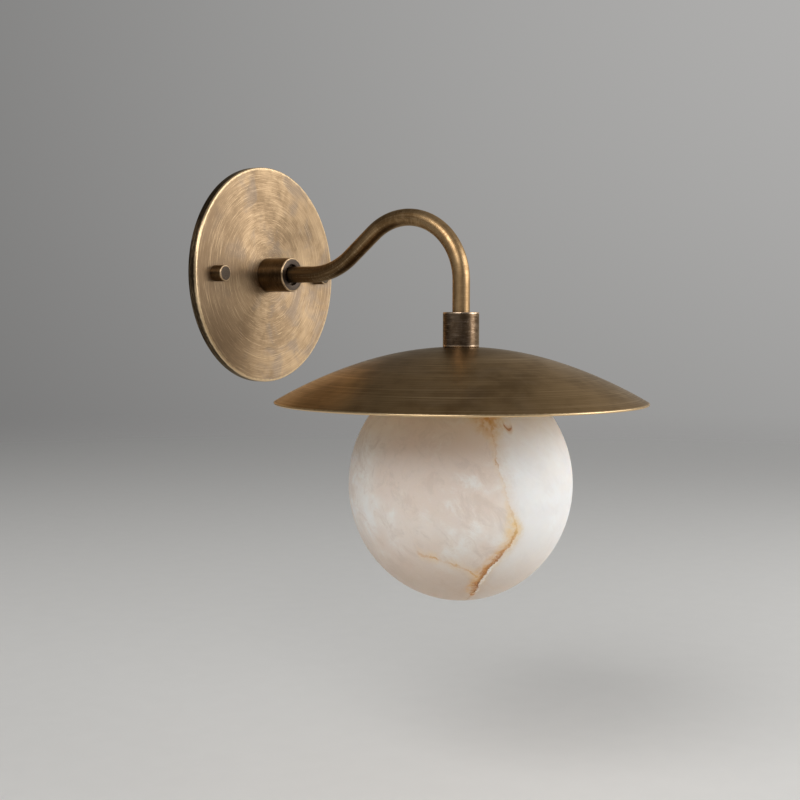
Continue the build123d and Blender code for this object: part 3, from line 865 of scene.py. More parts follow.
def ellipse_points(radius, half_height, start, end, count):
    """Points on the globe's outer or inner side by angles from straight down."""
    steps = [start + (end - start) * step / (count - 1) for step in range(count)]
    return [(radius * math.sin(angle), globe_middle - half_height * math.cos(angle)) for angle in steps]


neck_angle = math.acos((globe_middle - globe_high.z) / GLOBE_HALF_HEIGHT)
hollow_radius = globe_radius - GLOBE_WALL
bore_angle = math.pi - math.asin(NECK_BORE / hollow_radius)
outside = ellipse_points(globe_radius, GLOBE_HALF_HEIGHT, 0.0, neck_angle, 90)
inside = ellipse_points(hollow_radius, GLOBE_HALF_HEIGHT - GLOBE_WALL, bore_angle, 0.0, 60)
neck = [(NECK_BORE + NECK_ROUND, globe_high.z), (NECK_BORE, globe_high.z - NECK_ROUND)]
globe_section = [(0.0, outside[0][1])] + outside[1:] + neck + inside[:-1] + [(0.0, inside[-1][1])]
globe = turn_section("stone_globe", globe_section, 192, sharp=50)
print("globe turned, neck at", round(globe_high.z, 1))

# %% [markdown]
# Alabaster is milky gypsum. Pale clouds lie in it, water has stained it honey along old joints, and one joint near
# the front healed as a dark jagged crack. Noise alone gives clouds but never a line where it is wanted, so each vein
# is a curve drawn on the globe, by height and longitude, and the noise only roughens its edges.

# %% Veins by longitude and height
SPAN = 140.0  # the heights in millimetres, or the longitudes in degrees, that a drawn curve covers
HAIRLINE = 0.05


def hand_curve(share, points, low, high):
    """A value that follows given points, each a spot within the span and a value from low to high."""
    scaled = [(spot / SPAN + 0.5, (value - low) / (high - low)) for spot, value in points.items()]
    return share.node("ShaderNodeFloatCurve", {"points": scaled}, {"Value": share}) * (high - low) + low


def on_globe(place, side):
    """Longitude in degrees from one side of the globe, the height from its middle and the distance from its axis."""
    turn = math.radians(side)
    offset = place.vector("SUBTRACT", (0.0, 0.0, globe_middle))
    near = offset.vector("DOT_PRODUCT", (math.cos(turn), math.sin(turn), 0.0), output=1)
    over = offset.vector("DOT_PRODUCT", (-math.sin(turn), math.cos(turn), 0.0), output=1)
    return over.math("ARCTAN2", over, near) * math.degrees(1), offset.parts()[2], apart(near, over)


def upright_vein(place, side, path, shake):
    """How far a spot lies to the right of a vein that runs down the globe, and how high it is, from nought to one."""
    longitude, height, ring = on_globe(place, side)
    share = height * (1 / SPAN) + 0.5
    return (longitude - hand_curve(share, path, -SPAN / 2, SPAN / 2)) * ring * math.radians(1) + shake, share


def level_vein(place, side, path, shake):
    """How far a spot lies above a vein that runs round the globe, and how far round it is, from nought to one."""
    longitude, height, _ = on_globe(place, side)
    share = longitude * (1 / SPAN) + 0.5
    return height - hand_curve(share, path, -SPAN / 2, SPAN / 2) + shake, share


def on_line(gap, width, soft):
    """One on the vein, nought beyond its half width, with a soft edge."""
    return (abs(gap) / (width / 2 + HAIRLINE)).fall(1 - soft, 1 + soft)


print("veins ready")

# %% Alabaster clouds
FRONT = -148.7  # the longitude that faces the camera
CRACK_PATH = {
    -62: 10.5, -53.5: 12.4, -48.5: 13.3, -44: 15.2, -39: 17.0, -33.4: 21.6, -28: 25.0, -25.3: 27.0, -20: 28.6,
    -14.8: 28.2, -9.4: 26.2, -1.5: 23.0, 6: 21.2, 14.7: 18.6, 22: 17.9, 34: 18.0, 60: 15,
}
stone_look = {"Specular IOR Level": 0.3, "Subsurface Weight": 0.85, "Subsurface Radius": (1.0, 0.84, 0.70),
              "Subsurface Scale": 0.025}
stone, stone_shader, place = start_finish("alabaster", stone_look)
milk = place.noise(0.020, 3.0, 0.5, 0.5)
drift = place.noise(0.045, 5.0, 0.62, 0.4)
fleece = place.noise(0.24, 4.0, 0.6, 0.4)
sugar = place.noise(1.4)
feather = place.turned((0.5, 0.6, 0.0)).vector("MULTIPLY", (1.0, 1.0, 0.45)).noise(0.11, 6.0, 0.72, 0.7)
jag = (place.noise(0.22) - 0.5) * 4.0 + (place.noise(0.8) - 0.5) * 3.4
longitude, height, _ = on_globe(place, FRONT)
gap, share = upright_vein(place, FRONT, CRACK_PATH, jag)
# Painted light: the side right of the crack, which faces the lamps, is painted paler and whiter.
painted_lit_side = gap.rise(-2.0, 9.0) * gap.fall(50.0, 80.0) * (milk * 0.5 + 0.5)
ground = (milk * 0.55 + drift * 0.45).rise(0.36, 0.64).mix((0.82, 0.672, 0.598), (0.90, 0.798, 0.730))
clouded = layered(ground, [
    (feather.fall(0.36, 0.51) * 0.55, (0.69, 0.565, 0.50)),
    (drift.rise(0.46, 0.62) * feather.rise(0.44, 0.60) * (fleece * 0.6 + 0.4), (0.93, 0.875, 0.835)),
    (fleece.rise(0.50, 0.74) * 0.25, (0.70, 0.575, 0.505)),
    (painted_lit_side * 0.9, (0.94, 0.93, 0.92)),
    # darker and more beige towards the bottom: partly the stone's own tone, partly painted shade against the floor's
    # bounce light
    (height.fall(-58.0, -12.0) * 0.85 * (1 - painted_lit_side * 0.12), (0.55, 0.42, 0.325)),
    # painted light: a warm tint at the top, as the light that the brass shade throws down on it
    (height.rise(14.0, 44.0) * (0.6 - painted_lit_side * 0.3), (0.94, 0.75, 0.60)),
    (sugar.rise(0.5, 0.8) * 0.12, (0.97, 0.95, 0.93)),
])
print("clouds mixed")

# %% Honey veins and the dark crack
HONEY, AMBER = (0.86, 0.60, 0.33), (0.64, 0.335, 0.105)
RUST, UMBER = (0.46, 0.165, 0.028), (0.13, 0.040, 0.007)
LIP_HIGHLIGHT = (0.92, 0.88, 0.83)
WIDEST, CRACK_DEPTH = 24.0, 0.03


def by_height(strengths):
    return hand_curve(share, strengths, 0.0, 1.0)


def beside_crack(aside, width, soft, strengths):
    """A vein so far left of the crack; its width is a number or given for each height, as its strength is."""
    if isinstance(width, dict):
        width = hand_curve(share, width, 0.0, WIDEST)
    return on_line(gap + aside, width, soft) * by_height(strengths)


blotch = fleece.rise(0.36, 0.60)
grit = sugar.rise(0.36, 0.56)
stain = beside_crack(
    0.8, {-70: 4, -50: 6, -36: 7, -24: 7, -18: 8, -12: 6, -5: 3, 20: 2, 30: 7, 38: 16, 60: 20}, 0.9,
    {-56: 0.0, -52: 0.35, -30: 0.6, -22: 0.75, -16: 0.95, -10: 0.55, -2: 0.3, 22: 0.25, 30: 0.5, 38: 0.8},
)
upper_stain = beside_crack(1.5, 9.0, 0.9, {27: 0.0, 32: 0.35, 37: 0.8, 44: 0.9})
haze = gap.rise(-8.5, -0.6) * gap.fall(0.1, 0.9)
haze = haze * by_height({-55: 0.0, -51: 0.55, -46: 0.8, -34: 0.75, -27: 0.45, -22: 0.25, -18: 0.0})
thread = beside_crack(
    0.0, {-26: 1.0, -20: 1.7, -15: 1.3, -8: 0.9, 38: 0.9}, 0.6,
    {-56: 0.0, -52: 0.5, -24: 0.7, -20: 0.7, -16: 0.45, -9: 0.28, 6: 0.2, 14.5: 0.25, 16: 0.75, 18.5: 0.75, 20: 0.25,
     28: 0.3, 36: 0.5},
)
rust = beside_crack(
    0.8, {-58: 1.4, -47: 2.8, -38: 2.6, -30: 2.4, -20: 1.4}, 0.8,
    {-55.2: 0.0, -53.3: 0.8, -51: 0.7, -47: 0.95, -40: 0.8, -33: 0.75, -26: 0.3, -21: 0.2, -17: 0.0},
)
crack = beside_crack(
    0.0, {-58: 0.7, -47: 1.25, -40: 0.8, -33: 1.2, -22: 0.8}, 0.6,
    {-54.8: 0.0, -53.6: 0.9, -52.2: 0.5, -50.5: 0.7, -47.5: 1.0, -44.5: 0.8, -41: 0.5, -37: 0.5, -33.5: 0.6, -30: 0.2,
     -26: 0.1, -22.5: 0.2, -20: 0.1, -18: 0.0},
)
# Painted highlight: a pale line beside the crack, as the light its raised lip catches.
lip_highlight = beside_crack(-1.4, 1.2, 0.6, {-55: 0.0, -50: 0.7, -38: 0.7, -28: 0.4, -22: 0.0})
cracked = layered(clouded, [
    (stain * (blotch * 0.6 + 0.4), HONEY),
    (upper_stain * (blotch * 0.8 + 0.2), AMBER),
    (haze * (blotch * 0.65 + 0.35), AMBER),
    (thread * (blotch * 0.6 + 0.4), AMBER),
    (rust * (grit * 0.5 + 0.5), RUST),
    (crack * (grit * 0.8 + 0.2) * (blotch * 0.5 + 0.5), UMBER),
    (lip_highlight * blotch, LIP_HIGHLIGHT),
])
print("crack drawn")

# %% Branch and the veins on the other sides
BRANCH_PATH = {-70: -24, -24: -30, -19.6: -31.5, -14.5: -32.3, -8.5: -34.3, -2.8: -35.9, 3.1: -38.2, 8.4: -41.3,
               13.0: -44.5, 30: -52}
BRANCH_DASHES = {-30: 0, -25: 0, -22: 0.6, -19: 0.5, -16: 0.95, -13: 0.9, -11: 0.2, -7: 0.3, -3: 0.7, 0: 0.45, 4: 0.6,
                 9: 0.85, 13: 0.5, 15: 0.0}
FLECK_PATH = {-70: 50, 24: 37, 26: 35.2, 27.6: 33.2, 29.2: 33.4, 31: 35.0, 34: 40, 70: 60}
HOOK_PATH = {-70: -40, 8: -55.0, 11: -55.6, 14: -55.4, 17: -54.2, 20: -52, 70: -30}
OTHER_VEINS = [
    (-20.0, {-62: -8, -40: 6, -18: -4, 4: 10, 24: 4, 44: 16, 60: 20}, 1.3, 0.55),
    (62.0, {-62: 20, -36: 8, -10: 14, 12: -2, 30: -8, 60: -6}, 1.8, 0.45),
    (104.0, {-62: -14, -44: -2, -20: 6, 0: 0, 22: 12, 60: 24}, 1.0, 0.6),
]
branch_gap, branch_share = level_vein(place, FRONT, BRANCH_PATH, jag * 0.8)
dashes = hand_curve(branch_share, BRANCH_DASHES, 0.0, 1.0)
layers = [
    (on_line(branch_gap, 5.0, 0.95) * dashes * 0.4, HONEY),
    (on_line(branch_gap, 1.1, 0.7) * dashes * (grit * 0.5 + 0.35), AMBER),
]
for path, near, far in ((FLECK_PATH, 25.0, 31.5), (HOOK_PATH, 10.0, 16.0)):
    fleck_gap, _ = level_vein(place, FRONT, path, jag * 0.25)
    along = longitude.rise(near, near + 1.0) * longitude.fall(far - 2.0, far)
    layers.append((on_line(fleck_gap, 3.2, 0.9) * along * 0.5, AMBER))
    layers.append((on_line(fleck_gap, 1.0, 0.6) * along * 0.75, RUST))
for side, path, width, strength in OTHER_VEINS:
    far_gap, _ = upright_vein(place, side, path, jag * 1.3)
    broken = place.noise(0.09, 2.0, 0.5).rise(0.40, 0.58) * strength
    layers.append((on_line(far_gap, width * 8, 0.95) * broken * 0.45, HONEY))
    layers.append((on_line(far_gap, width, 0.6) * broken, AMBER))
feed(stone_shader, {
    "Base Color": layered(cracked, layers),
    "Roughness": 0.52 + fleece * 0.12 + crack * 0.2,
    "Normal": bump(0.5 - crack * 0.5, CRACK_DEPTH, 0.4),
})
stand_in(globe, ON_LAMP, "globe", stone, "alabaster_globe")

# %% [markdown]
# ## Finishes of the inner hardware
# Behind the brass are zinc-plated steel, plain brass, porcelain, nylon and rubber. Their makers leave them as they
# come off the machine, so each has cloudy plating or moulding, fine lines, a few scratches and no patina. One recipe
# does for all the metals and one for all the rest, with a row of colours for each.

# %% Two recipes for hardware
PLATING_CLOUD = 0.12
GRAIN_DEPTH = 0.02
COPPER = (0.72, 0.33, 0.17)


def plain_metal(name, colour, shade, tinge, rough):
    """A machined or plated metal: cloudy, finely lined, a little scratched, with a faint tinge in places."""
    material, shader, place = start_finish(name, {"Metallic": 1.0})
    cloud = place.noise(PLATING_CLOUD, 4.0)
    grain = place.vector("MULTIPLY", (0.6, 6.0, 6.0)).noise(1.0)
    spots = place.noise(PLATING_CLOUD * 9, 3.0, 0.7).rise(0.6, 0.75)
    hair = scratches(place, (9.0, 7.0), 0.68)
    plating = (cloud.rise(0.35, 0.7) * 0.6 + spots * 0.3 + (grain - 0.5) * 0.5).mix(colour, shade)
    feed(shader, {
        "Base Color": layered(plating, [
            (place.noise(PLATING_CLOUD * 0.35, 3.0, 0.5, 0.5).rise(0.42, 0.68) * 0.6, tinge),
            (hair * 0.5, tuple(value * 0.45 for value in shade)),
        ]),
        "Roughness": rough + cloud * 0.12 + (grain - 0.5) * 0.2 + spots * 0.1,
        "Normal": bump(grain * 0.6 + cloud * 0.4 - hair * 0.4, GRAIN_DEPTH, 0.4),
    })
    return material


def soft_matter(name, colour, shade, rough, scale, depth=GRAIN_DEPTH, core=None):
    """A moulded or pressed stuff; a lead also shows its copper core where it is cut, at a place across the wall."""
    material, shader, place = start_finish(name, {})
    cloud = place.noise(scale, 4.0)
    grain = place.noise(scale * 12)
    dust = place.noise(scale * 3, 4.0, 0.65).rise(0.52, 0.72) * 0.25
    layers = [(dust, tuple(value * 0.7 + 0.05 for value in shade))]
    if core is not None:
        x, y, z = place.parts()
        cut_end = apart(x - core, z).fall(0.45, 0.55) * y.rise(-0.3, -0.2)
        layers.append((cut_end, COPPER))
        feed(shader, {"Metallic": cut_end})
    feed(shader, {
        "Base Color": layered(cloud.rise(0.35, 0.7).mix(colour, shade), layers),
        "Roughness": rough + (grain - 0.5) * 0.2 + dust,
        "Normal": bump(grain, depth, 0.5),
    })
    return material


print("metal and soft recipes ready")

# %% Hardware finishes
LEAD_OFFSET = 2.3
METALS = {
    "plated_steel": ("zinc_plate", (0.62, 0.62, 0.60), (0.45, 0.46, 0.46), (0.60, 0.57, 0.45), 0.30),
    "plain_brass": ("plain_brass", (0.61, 0.46, 0.23), (0.41, 0.29, 0.13), (0.50, 0.34, 0.17), 0.28),
    "aluminium": ("aluminium", (0.76, 0.76, 0.77), (0.60, 0.60, 0.62), (0.68, 0.69, 0.72), 0.32),
}
SOFT_STUFFS = {
    "fibre": ("fibre", (0.34, 0.11, 0.07), (0.24, 0.07, 0.05), 0.75, 0.5, 0.05),
    "nylon": ("nylon", (0.84, 0.83, 0.78), (0.76, 0.75, 0.70), 0.5, 0.3),
    "silicone": ("silicone", (0.82, 0.82, 0.80), (0.74, 0.74, 0.73), 0.55, 0.2),
    "porcelain": ("porcelain", (0.88, 0.87, 0.83), (0.82, 0.81, 0.77), 0.22, 0.12),
    "lamp_base": ("lamp_base", (0.88, 0.88, 0.86), (0.80, 0.80, 0.78), 0.45, 0.2),
    "lamp_cover": ("lamp_cover", (0.92, 0.91, 0.87), (0.86, 0.85, 0.81), 0.55, 0.2),
    "light_board": ("light_board", (0.88, 0.84, 0.52), (0.80, 0.74, 0.40), 0.6, 0.5),
    "lead_black": ("black_lead", (0.035, 0.035, 0.037), (0.055, 0.055, 0.057), 0.5, 0.4, GRAIN_DEPTH, -LEAD_OFFSET),
    "lead_white": ("white_lead", (0.83, 0.83, 0.81), (0.74, 0.74, 0.72), 0.5, 0.4, GRAIN_DEPTH, LEAD_OFFSET),
    "lead_green": ("green_lead", (0.06, 0.34, 0.12), (0.04, 0.25, 0.09), 0.5, 0.4),
}
finish_of = {slot: plain_metal(*row) for slot, row in METALS.items()}
finish_of.update({slot: soft_matter(*row) for slot, row in SOFT_STUFFS.items()})
for node, slot in slot_of.items():
    if slot in finish_of:
        wear(frame["nodes"][node].data, finish_of[slot])
print("hardware painted:", sorted(finish_of))

# %% [markdown]
# ## Threads, nuts and washers
# A screw thread could be made with the Screw modifier, but then its ends stay open and its crests miss the bore. Here
# the lathe gets one radius for every segment of a ring. A thread is a wave that moves on with the angle, a nut is a
# hexagon with its corners turned off, and a lock washer is a ring with teeth.

# %% Rings that are not round
NEARLY_NOUGHT = 1e-6


def around(count, radius_at):
    """One radius for each segment of a ring."""
    return [radius_at(math.tau * turn / count) for turn in range(count)]


def hexagon(flats, count=48):
    return around(count, lambda angle: flats / 2 / math.cos(angle % (math.pi / 3) - math.pi / 6))


def cross(arm, half_width, count=48):
    """The mouth of a cross recess."""

    def radius_at(angle):
        near, far = sorted((abs(math.sin(angle)), abs(math.cos(angle))))
        return min(arm / far, half_width / max(near, NEARLY_NOUGHT))

    return around(count, radius_at)


def long_slot(length, width, count=96):
    """A slot with round ends along the second axis."""

    def radius_at(angle):
        along, across = abs(math.sin(angle)), max(abs(math.cos(angle)), NEARLY_NOUGHT)
        run, half = (length - width) / 2, width / 2
        if along / across * half <= run:
            return half / across
        return run * along + math.sqrt(half**2 - (run * across) ** 2)

    return around(count, radius_at)


print("hexagon, cross and slot ready")

# %% Threads and nuts
Thread = namedtuple("Thread", "radius pitch depth")
ROWS_A_TURN = 8


def thread_ring(thread, height, chamfer, count):
    """One ring of a right-hand thread; the chamfer is how much of the thread's depth is turned off."""
    waves = around(count, lambda angle: abs(2 * ((height / thread.pitch - angle / math.tau) % 1) - 1))
    return [thread.radius - thread.depth * max(wave, chamfer) for wave in waves]


def thread_rows(thread, low, high, count=48):
    """Rings of a thread from its low end to its high end, chamfered at both."""
    rows = []
    steps = round((high - low) / thread.pitch * ROWS_A_TURN)
    for step in range(steps + 1):
        height = low + (high - low) * step / steps
        chamfer = 1 - min(height - low, high - height) / thread.pitch
        rows.append((thread_ring(thread, height, chamfer, count), height))
    return rows


def bore_rows(bore, low, high, broken):
    """The inside of a ring from its top down, with both of its edges broken."""
    return [(bore + broken, high), (bore, high - broken), (bore, low + broken), (bore + broken, low)]


def nut_rows(flats, low, high, bore):
    """A hexagon nut with both rims and both ends of its bore chamfered."""
    start = flats * 0.49
    corner = flats / 2 / math.cos(math.pi / 6)
    chamfer = (corner - start) * math.tan(math.pi / 6)
    shares = (0.0, 0.25, 0.5, 0.75, 1.0)
    limits = [[min(radius, start + (corner - start) * share) for radius in hexagon(flats)] for share in shares]
    rise = [(rings, low + chamfer * share) for rings, share in zip(limits, shares)]
    fall = [(rings, high - chamfer * share) for rings, share in zip(limits, shares)][::-1]
    return rise + fall + bore_rows(bore, low, high, 0.25)


print("thread and nut sections ready")

# %% Washers, nipples and screws
def toothed_rows(tip, root, bore, low, high, teeth=12, count=96):
    """A lock washer with square-ended teeth round its rim."""
    rings = around(count, lambda angle: root + (tip - root) * min(1.0, max(0.0, 0.5 + 0.9 * math.cos(teeth * angle))))
    return [(rings, low), (rings, high), (bore, high), (bore, low)]


def sleeve_rows(thread, low, high, bore):
    """A threaded nipple with its bore opened out at both ends."""
    return thread_rows(thread, low, high) + bore_rows(bore, low, high, 0.35)


def screw_rows(thread, low, seat, head, head_height):
    """A pan-head screw with a cross recess; its head stands on the seat."""
    top = seat + head_height
    recess = cross(head * 0.52, head * 0.13)
    crown = [(head * 0.9, seat), (head, seat + 0.2), (head, seat + head_height * 0.5), (head * 0.92, top - 0.35),
             (head * 0.78, top - 0.1), (head * 0.6, top), (recess, top), ([edge * 0.8 for edge in recess], top - 0.9)]
    return [(0.0, low)] + thread_rows(thread, low, seat) + crown + [(0.0, top - 1.0)]


def grub_rows(thread, low, high, socket):
    """A headless screw with a hexagon socket in its outer end."""
    mouth = [(socket * 0.7, high), (hexagon(socket), high - 0.1), (hexagon(socket), high - 1.7), (0.0, high - 2.0)]
    return [(0.0, low)] + thread_rows(thread, low, high) + mouth


print("washer, nipple and screw sections ready")

# %% [markdown]
# ## Wall hardware
# A pressed steel plate goes on the wall box first. Two studs with thin nuts hold the backplate to it, and a hollow
# nipple with its own nut holds the hub and lets the leads through. The plate's two rings are pressed into its back to
# stiffen it. The fixed nodes could be left in place, but they have no threads or chamfers, so each is turned again
# exactly where it was.

# %% Fixture plate
BOX_SCREW, BOX_SLOT = 39.7, (14.5, 5.0)
GROUND_RING, GROUND_TURN = 31.0, spun(225, "Z")
M4, M4_HOLE = Thread(2.0, 0.7, 0.36), 2.05
BEHIND, THROUGH = -2.0, 6.0


def hardware(name, rows, node, placing, body="wall_frame", segments=48, sharp=30, holes=()):
    """Turns a section, drills it along its axis and stands it in for its node."""
    piece = turn_section(name, rows, segments, sharp)
    for spot, hole in holes:
        drill(piece, spot, OUTWARDS, hole, THROUGH)
    stand_in(piece, placing, body, finish_of[slot_of[node]], node)


plate_section = rounded([
    (56.0, 0.0, 0.3), (56.0, 1.5, 0.4), (20.0, 1.5, 0.25), (20.0, 0.0, 0.25),
    (23.4, 0.0, 0.15), (24.2, 0.5, 0.3), (25.6, 0.5, 0.3), (26.4, 0.0, 0.15),
    (50.4, 0.0, 0.15), (51.2, 0.45, 0.3), (52.4, 0.45, 0.3), (53.2, 0.0, 0.15),
])
plate_holes = [(GROUND_TURN @ Vector((GROUND_RING, 0.0, BEHIND)), M4_HOLE)]
for _, sign in SIDES:
    plate_holes.append(((sign * stud_x, 0.0, BEHIND), M4_HOLE))
    plate_holes.append(((0.0, sign * BOX_SCREW, BEHIND), long_slot(*BOX_SLOT)))
hardware("pressed_plate", spaced(plate_section, 2.0), "mounting_plate", OFF_WALL, segments=160, holes=plate_holes)

# %% Studs, nipple, nuts and washers
M10, M10_BORE, M10_FLATS = Thread(5.0, 1.0, 0.5), 3.75, 14.0
STUD_LENGTH, GRUB_SOCKET = 11.5, 2.0
TOOTHED = (7.5, 6.5, NIPPLE_HOLE)
stud_rows = [(0.0, 0.0)] + thread_rows(M4, 0.0, STUD_LENGTH) + [(0.0, STUD_LENGTH)]
flat_washer = rounded([(3.8, 5.0, 0.12), (3.8, 5.5, 0.12), (2.2, 5.5, 0.12), (2.2, 5.0, 0.12)], 3)
for side, sign in SIDES:
    at_stud = shifted(sign * stud_x) @ OFF_WALL
    hardware(f"{side}_threaded_stud", stud_rows, "canopy_studs", at_stud)
    hardware(f"{side}_thin_nut", nut_rows(7.0, 1.5, 3.5, M4_HOLE), "stud_locknuts", at_stud)
    hardware(f"{side}_flat_washer", flat_washer, f"{side}_nut_washer", at_stud, f"{side}_washer")
at_ground = OFF_WALL @ GROUND_TURN @ shifted(GROUND_RING)
hardware("earth_screw", screw_rows(M4, 0.0, 2.0, 3.4, 1.6), "ground_screw", at_ground)
hardware("wall_nipple", sleeve_rows(M10, 0.6, 12.5, M10_BORE), "hub_nipple", OFF_WALL)
hardware("wall_nut", nut_rows(M10_FLATS, 0.7, 2.9, THREAD_BORE), "hub_locknut", OFF_WALL)
hardware("wall_lock_washer", toothed_rows(*TOOTHED, 3.4, 4.0), "hub_lock_washer", OFF_WALL)
bush = rounded([
    (4.8, 0.1, 0.2), (4.8, 0.6, 0.15), (3.7, 0.6, 0.0), (3.7, 6.0, 0.15), (3.3, 6.0, 0.1), (3.3, 0.1, 0.3),
])
hardware("lead_bush", bush, "wire_bushing", OFF_WALL)
at_hub_grub = shifted(y=HUB_GRUB_BACK - hub_front) @ spun(180, "X")
hardware("hub_grub_screw", grub_rows(M4, 4.8, 9.6, GRUB_SOCKET), "arm_set_screw", at_hub_grub)

# %% [markdown]
# ## Lamp hardware
# Under the shade a spacer and a threaded cup hang on a second nipple, and the stone screws up onto the cup against a
# rubber ring. The thread in the stone's metal ring could be left plain, as it hardly shows, but here it is the same
# wave as the cup's, moved out by the play between them, so the two always fit while the globe turns.

# %% Cup, ring and rubber
def heights(node):
    low, high = ends(node)
    return low.z, high.z


CUP_THREAD, RING_THREAD, CUP_SEGMENTS = Thread(24.0, 2.0, 0.6), Thread(24.7, 2.0, 0.6), 120
fitter_low, fitter_high = heights("globe_fitter")
gasket_low, gasket_high = heights("globe_gasket")
ring_low, ring_high = heights("globe_neck_ring")
cup_rows = thread_rows(CUP_THREAD, fitter_low, gasket_high - 0.4, CUP_SEGMENTS) + rounded([
    (23.4, gasket_high, 0.0), (29.0, gasket_high, 0.3), (29.0, gasket_high + 1.5, 0.3),
    (24.0, gasket_high + 1.5, 0.5), (24.0, fitter_high, 1.0), (NIPPLE_HOLE, fitter_high, 0.2),
    (NIPPLE_HOLE, fitter_high - 1.5, 0.2), (22.5, fitter_high - 1.5, 0.6), (22.5, fitter_low, 0.0),
])
hardware("threaded_cup", cup_rows, "globe_fitter", ON_LAMP)
neck_rows = [(26.6, ring_low), (26.9, ring_low + 0.3), (26.9, ring_high - 0.3), (26.6, ring_high)]
neck_rows += thread_rows(RING_THREAD, ring_low, ring_high, CUP_SEGMENTS)[::-1]
hardware("threaded_ring", neck_rows, "globe_neck_ring", ON_LAMP, "globe")
rubber = rounded([
    (29.0, gasket_low, 0.4), (29.0, gasket_high, 0.4), (24.3, gasket_high, 0.4), (24.3, gasket_low, 0.4),
])
hardware("rubber_ring", rubber, "globe_gasket", ON_LAMP, "gasket", CUP_SEGMENTS, sharp=None)

# %% Nipple, spacer, nut and lamp screws
M3, HOLDER_SEAT = Thread(1.5, 0.5, 0.25), 11.95
spacer_low, spacer_high = heights("shade_spacer")
nut_low, nut_high = heights("fitter_locknut")
spacer = rounded([
    (11.0, spacer_low, 0.4), (11.0, spacer_low + 1.1, 0.0), (10.4, spacer_low + 1.3, 0.0),
    (10.4, spacer_high - 1.3, 0.0), (11.0, spacer_high - 1.1, 0.0), (11.0, spacer_high, 0.4),
    (NIPPLE_HOLE, spacer_high, 0.2), (NIPPLE_HOLE, spacer_low, 0.2),
])
hardware("grooved_spacer", spacer, "shade_spacer", ON_LAMP, segments=72)
hardware("lamp_nipple", sleeve_rows(M10, *heights("shade_nipple"), M10_BORE), "shade_nipple", ON_LAMP)
hardware("lamp_nut", nut_rows(M10_FLATS, nut_low, nut_high, THREAD_BORE), "fitter_locknut", ON_LAMP)
hardware("lamp_lock_washer", toothed_rows(*TOOTHED, nut_high, nut_high + 0.6), "fitter_lock_washer", ON_LAMP)
at_coupler_grub = ON_LAMP @ shifted(z=coupler_high.z - COUPLER_GRUB_DROP) @ spun(-90, "X")
hardware("coupler_grub_screw", grub_rows(M4, 4.8, 9.45, GRUB_SOCKET), "coupler_set_screw", at_coupler_grub)
holder_screw_rows = screw_rows(M3, HOLDER_SEAT - 5.0, HOLDER_SEAT, 2.7, 1.6)
at_holder_screws = ON_LAMP @ shifted(z=middle("lampholder_screws").z)
for side, sign in SIDES:
    hardware(f"{side}_holder_screw", holder_screw_rows, "lampholder_screws", at_holder_screws @ spun(sign * 90, "Y"))

# %% [markdown]
# ## Folded, moulded and pressed pieces
# The bracket, the ring tags, the contacts, the lamp's pins and the porcelain block are right in shape but have edges
# as sharp as a drawing. Remodelling them would only repeat the fixed nodes, so each one is copied, its flat faces are
# cleaned of triangles, and its sharp edges get a small round.

# %% Soften sharp edges
FLAT, KEEN = math.radians(1), math.radians(40)
SAME_POINT, ON_HULL = 0.0001, 0.001


def round_edges(mesh, edges, width):
    bmesh.ops.bevel(mesh, geom=edges, offset=width * MM, segments=2, profile=0.5, affect="EDGES", clamp_overlap=True)


def softened(name, node, width, body="wall_frame", hull_only=False):
    """A copy of a node's mesh with its sharp edges, or those of its outer box, rounded by so many millimetres."""
    low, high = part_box(node)

    def on_hull(vertex):
        gaps = [min(abs(spot - least), abs(spot - most)) for spot, least, most in zip(vertex.co, low, high)]
        return sum(gap < ON_HULL * MM for gap in gaps) > 1

    mesh = bmesh.new()
    mesh.from_mesh(frame["nodes"][node].data)
    bmesh.ops.remove_doubles(mesh, verts=mesh.verts, dist=SAME_POINT * MM)
    bmesh.ops.dissolve_limit(mesh, angle_limit=FLAT, verts=mesh.verts, edges=mesh.edges)
    keen = [edge for edge in mesh.edges if edge.is_manifold and edge.calc_face_angle() > KEEN]
    if hull_only:
        keen = [edge for edge in keen if all(on_hull(vertex) for vertex in edge.verts)]
    round_edges(mesh, keen, width)
    close_up(mesh)
    stand_in(new_piece(name, mesh, sharp=50), AS_PACKED, body, finish_of[slot_of[node]], node)


softened("crimped_tags", "ground_tags", 0.08)
softened("folded_bracket", "lampholder_bracket", 0.2)
softened("porcelain_holder", "lampholder", 1.2, hull_only=True)
softened("spring_contacts", "lampholder_contacts", 0.06)
softened("lamp_pins", "bulb_pins", 0.2, "bulb")
softened("lamp_board", "bulb_led_board", 0.12, "bulb")

# %% [markdown]
# ## Plug-in lamp
# The lamp's base is moulded with a step and a grip groove, and hollow underneath, where a strip of circuit board
# stands up in it. Small square chips on both faces of the strip give the light, and a thin frosted cover with a round
# end softens it. All of it hides in the stone, but it is turned as the rest is, because each piece is also seen
# alone.

# %% Lamp base and cover
COVER_RADIUS, COVER_SHEET, COVER_STEPS = 8.0, 0.8, 16
base_low, base_high = heights("bulb_base")
cover_low, _ = heights("bulb_diffuser")
base_rows = rounded([
    (0.0, base_high, 0.0), (7.0, base_high, 0.5), (7.2, base_high - 2.0, 0.3), (8.0, base_high - 2.6, 0.3),
    (8.0, base_high - 6.2, 0.1), (7.5, base_high - 6.6, 0.1), (7.5, base_high - 7.6, 0.1),
    (8.0, base_high - 8.0, 0.1), (8.0, base_low, 0.2), (5.4, base_low, 0.3), (5.4, base_high - 6.8, 0.0),
    (0.0, base_high - 6.8, 0.0),
], 3)
hardware("lamp_base", base_rows, "bulb_base", ON_LAMP, "bulb", 64)


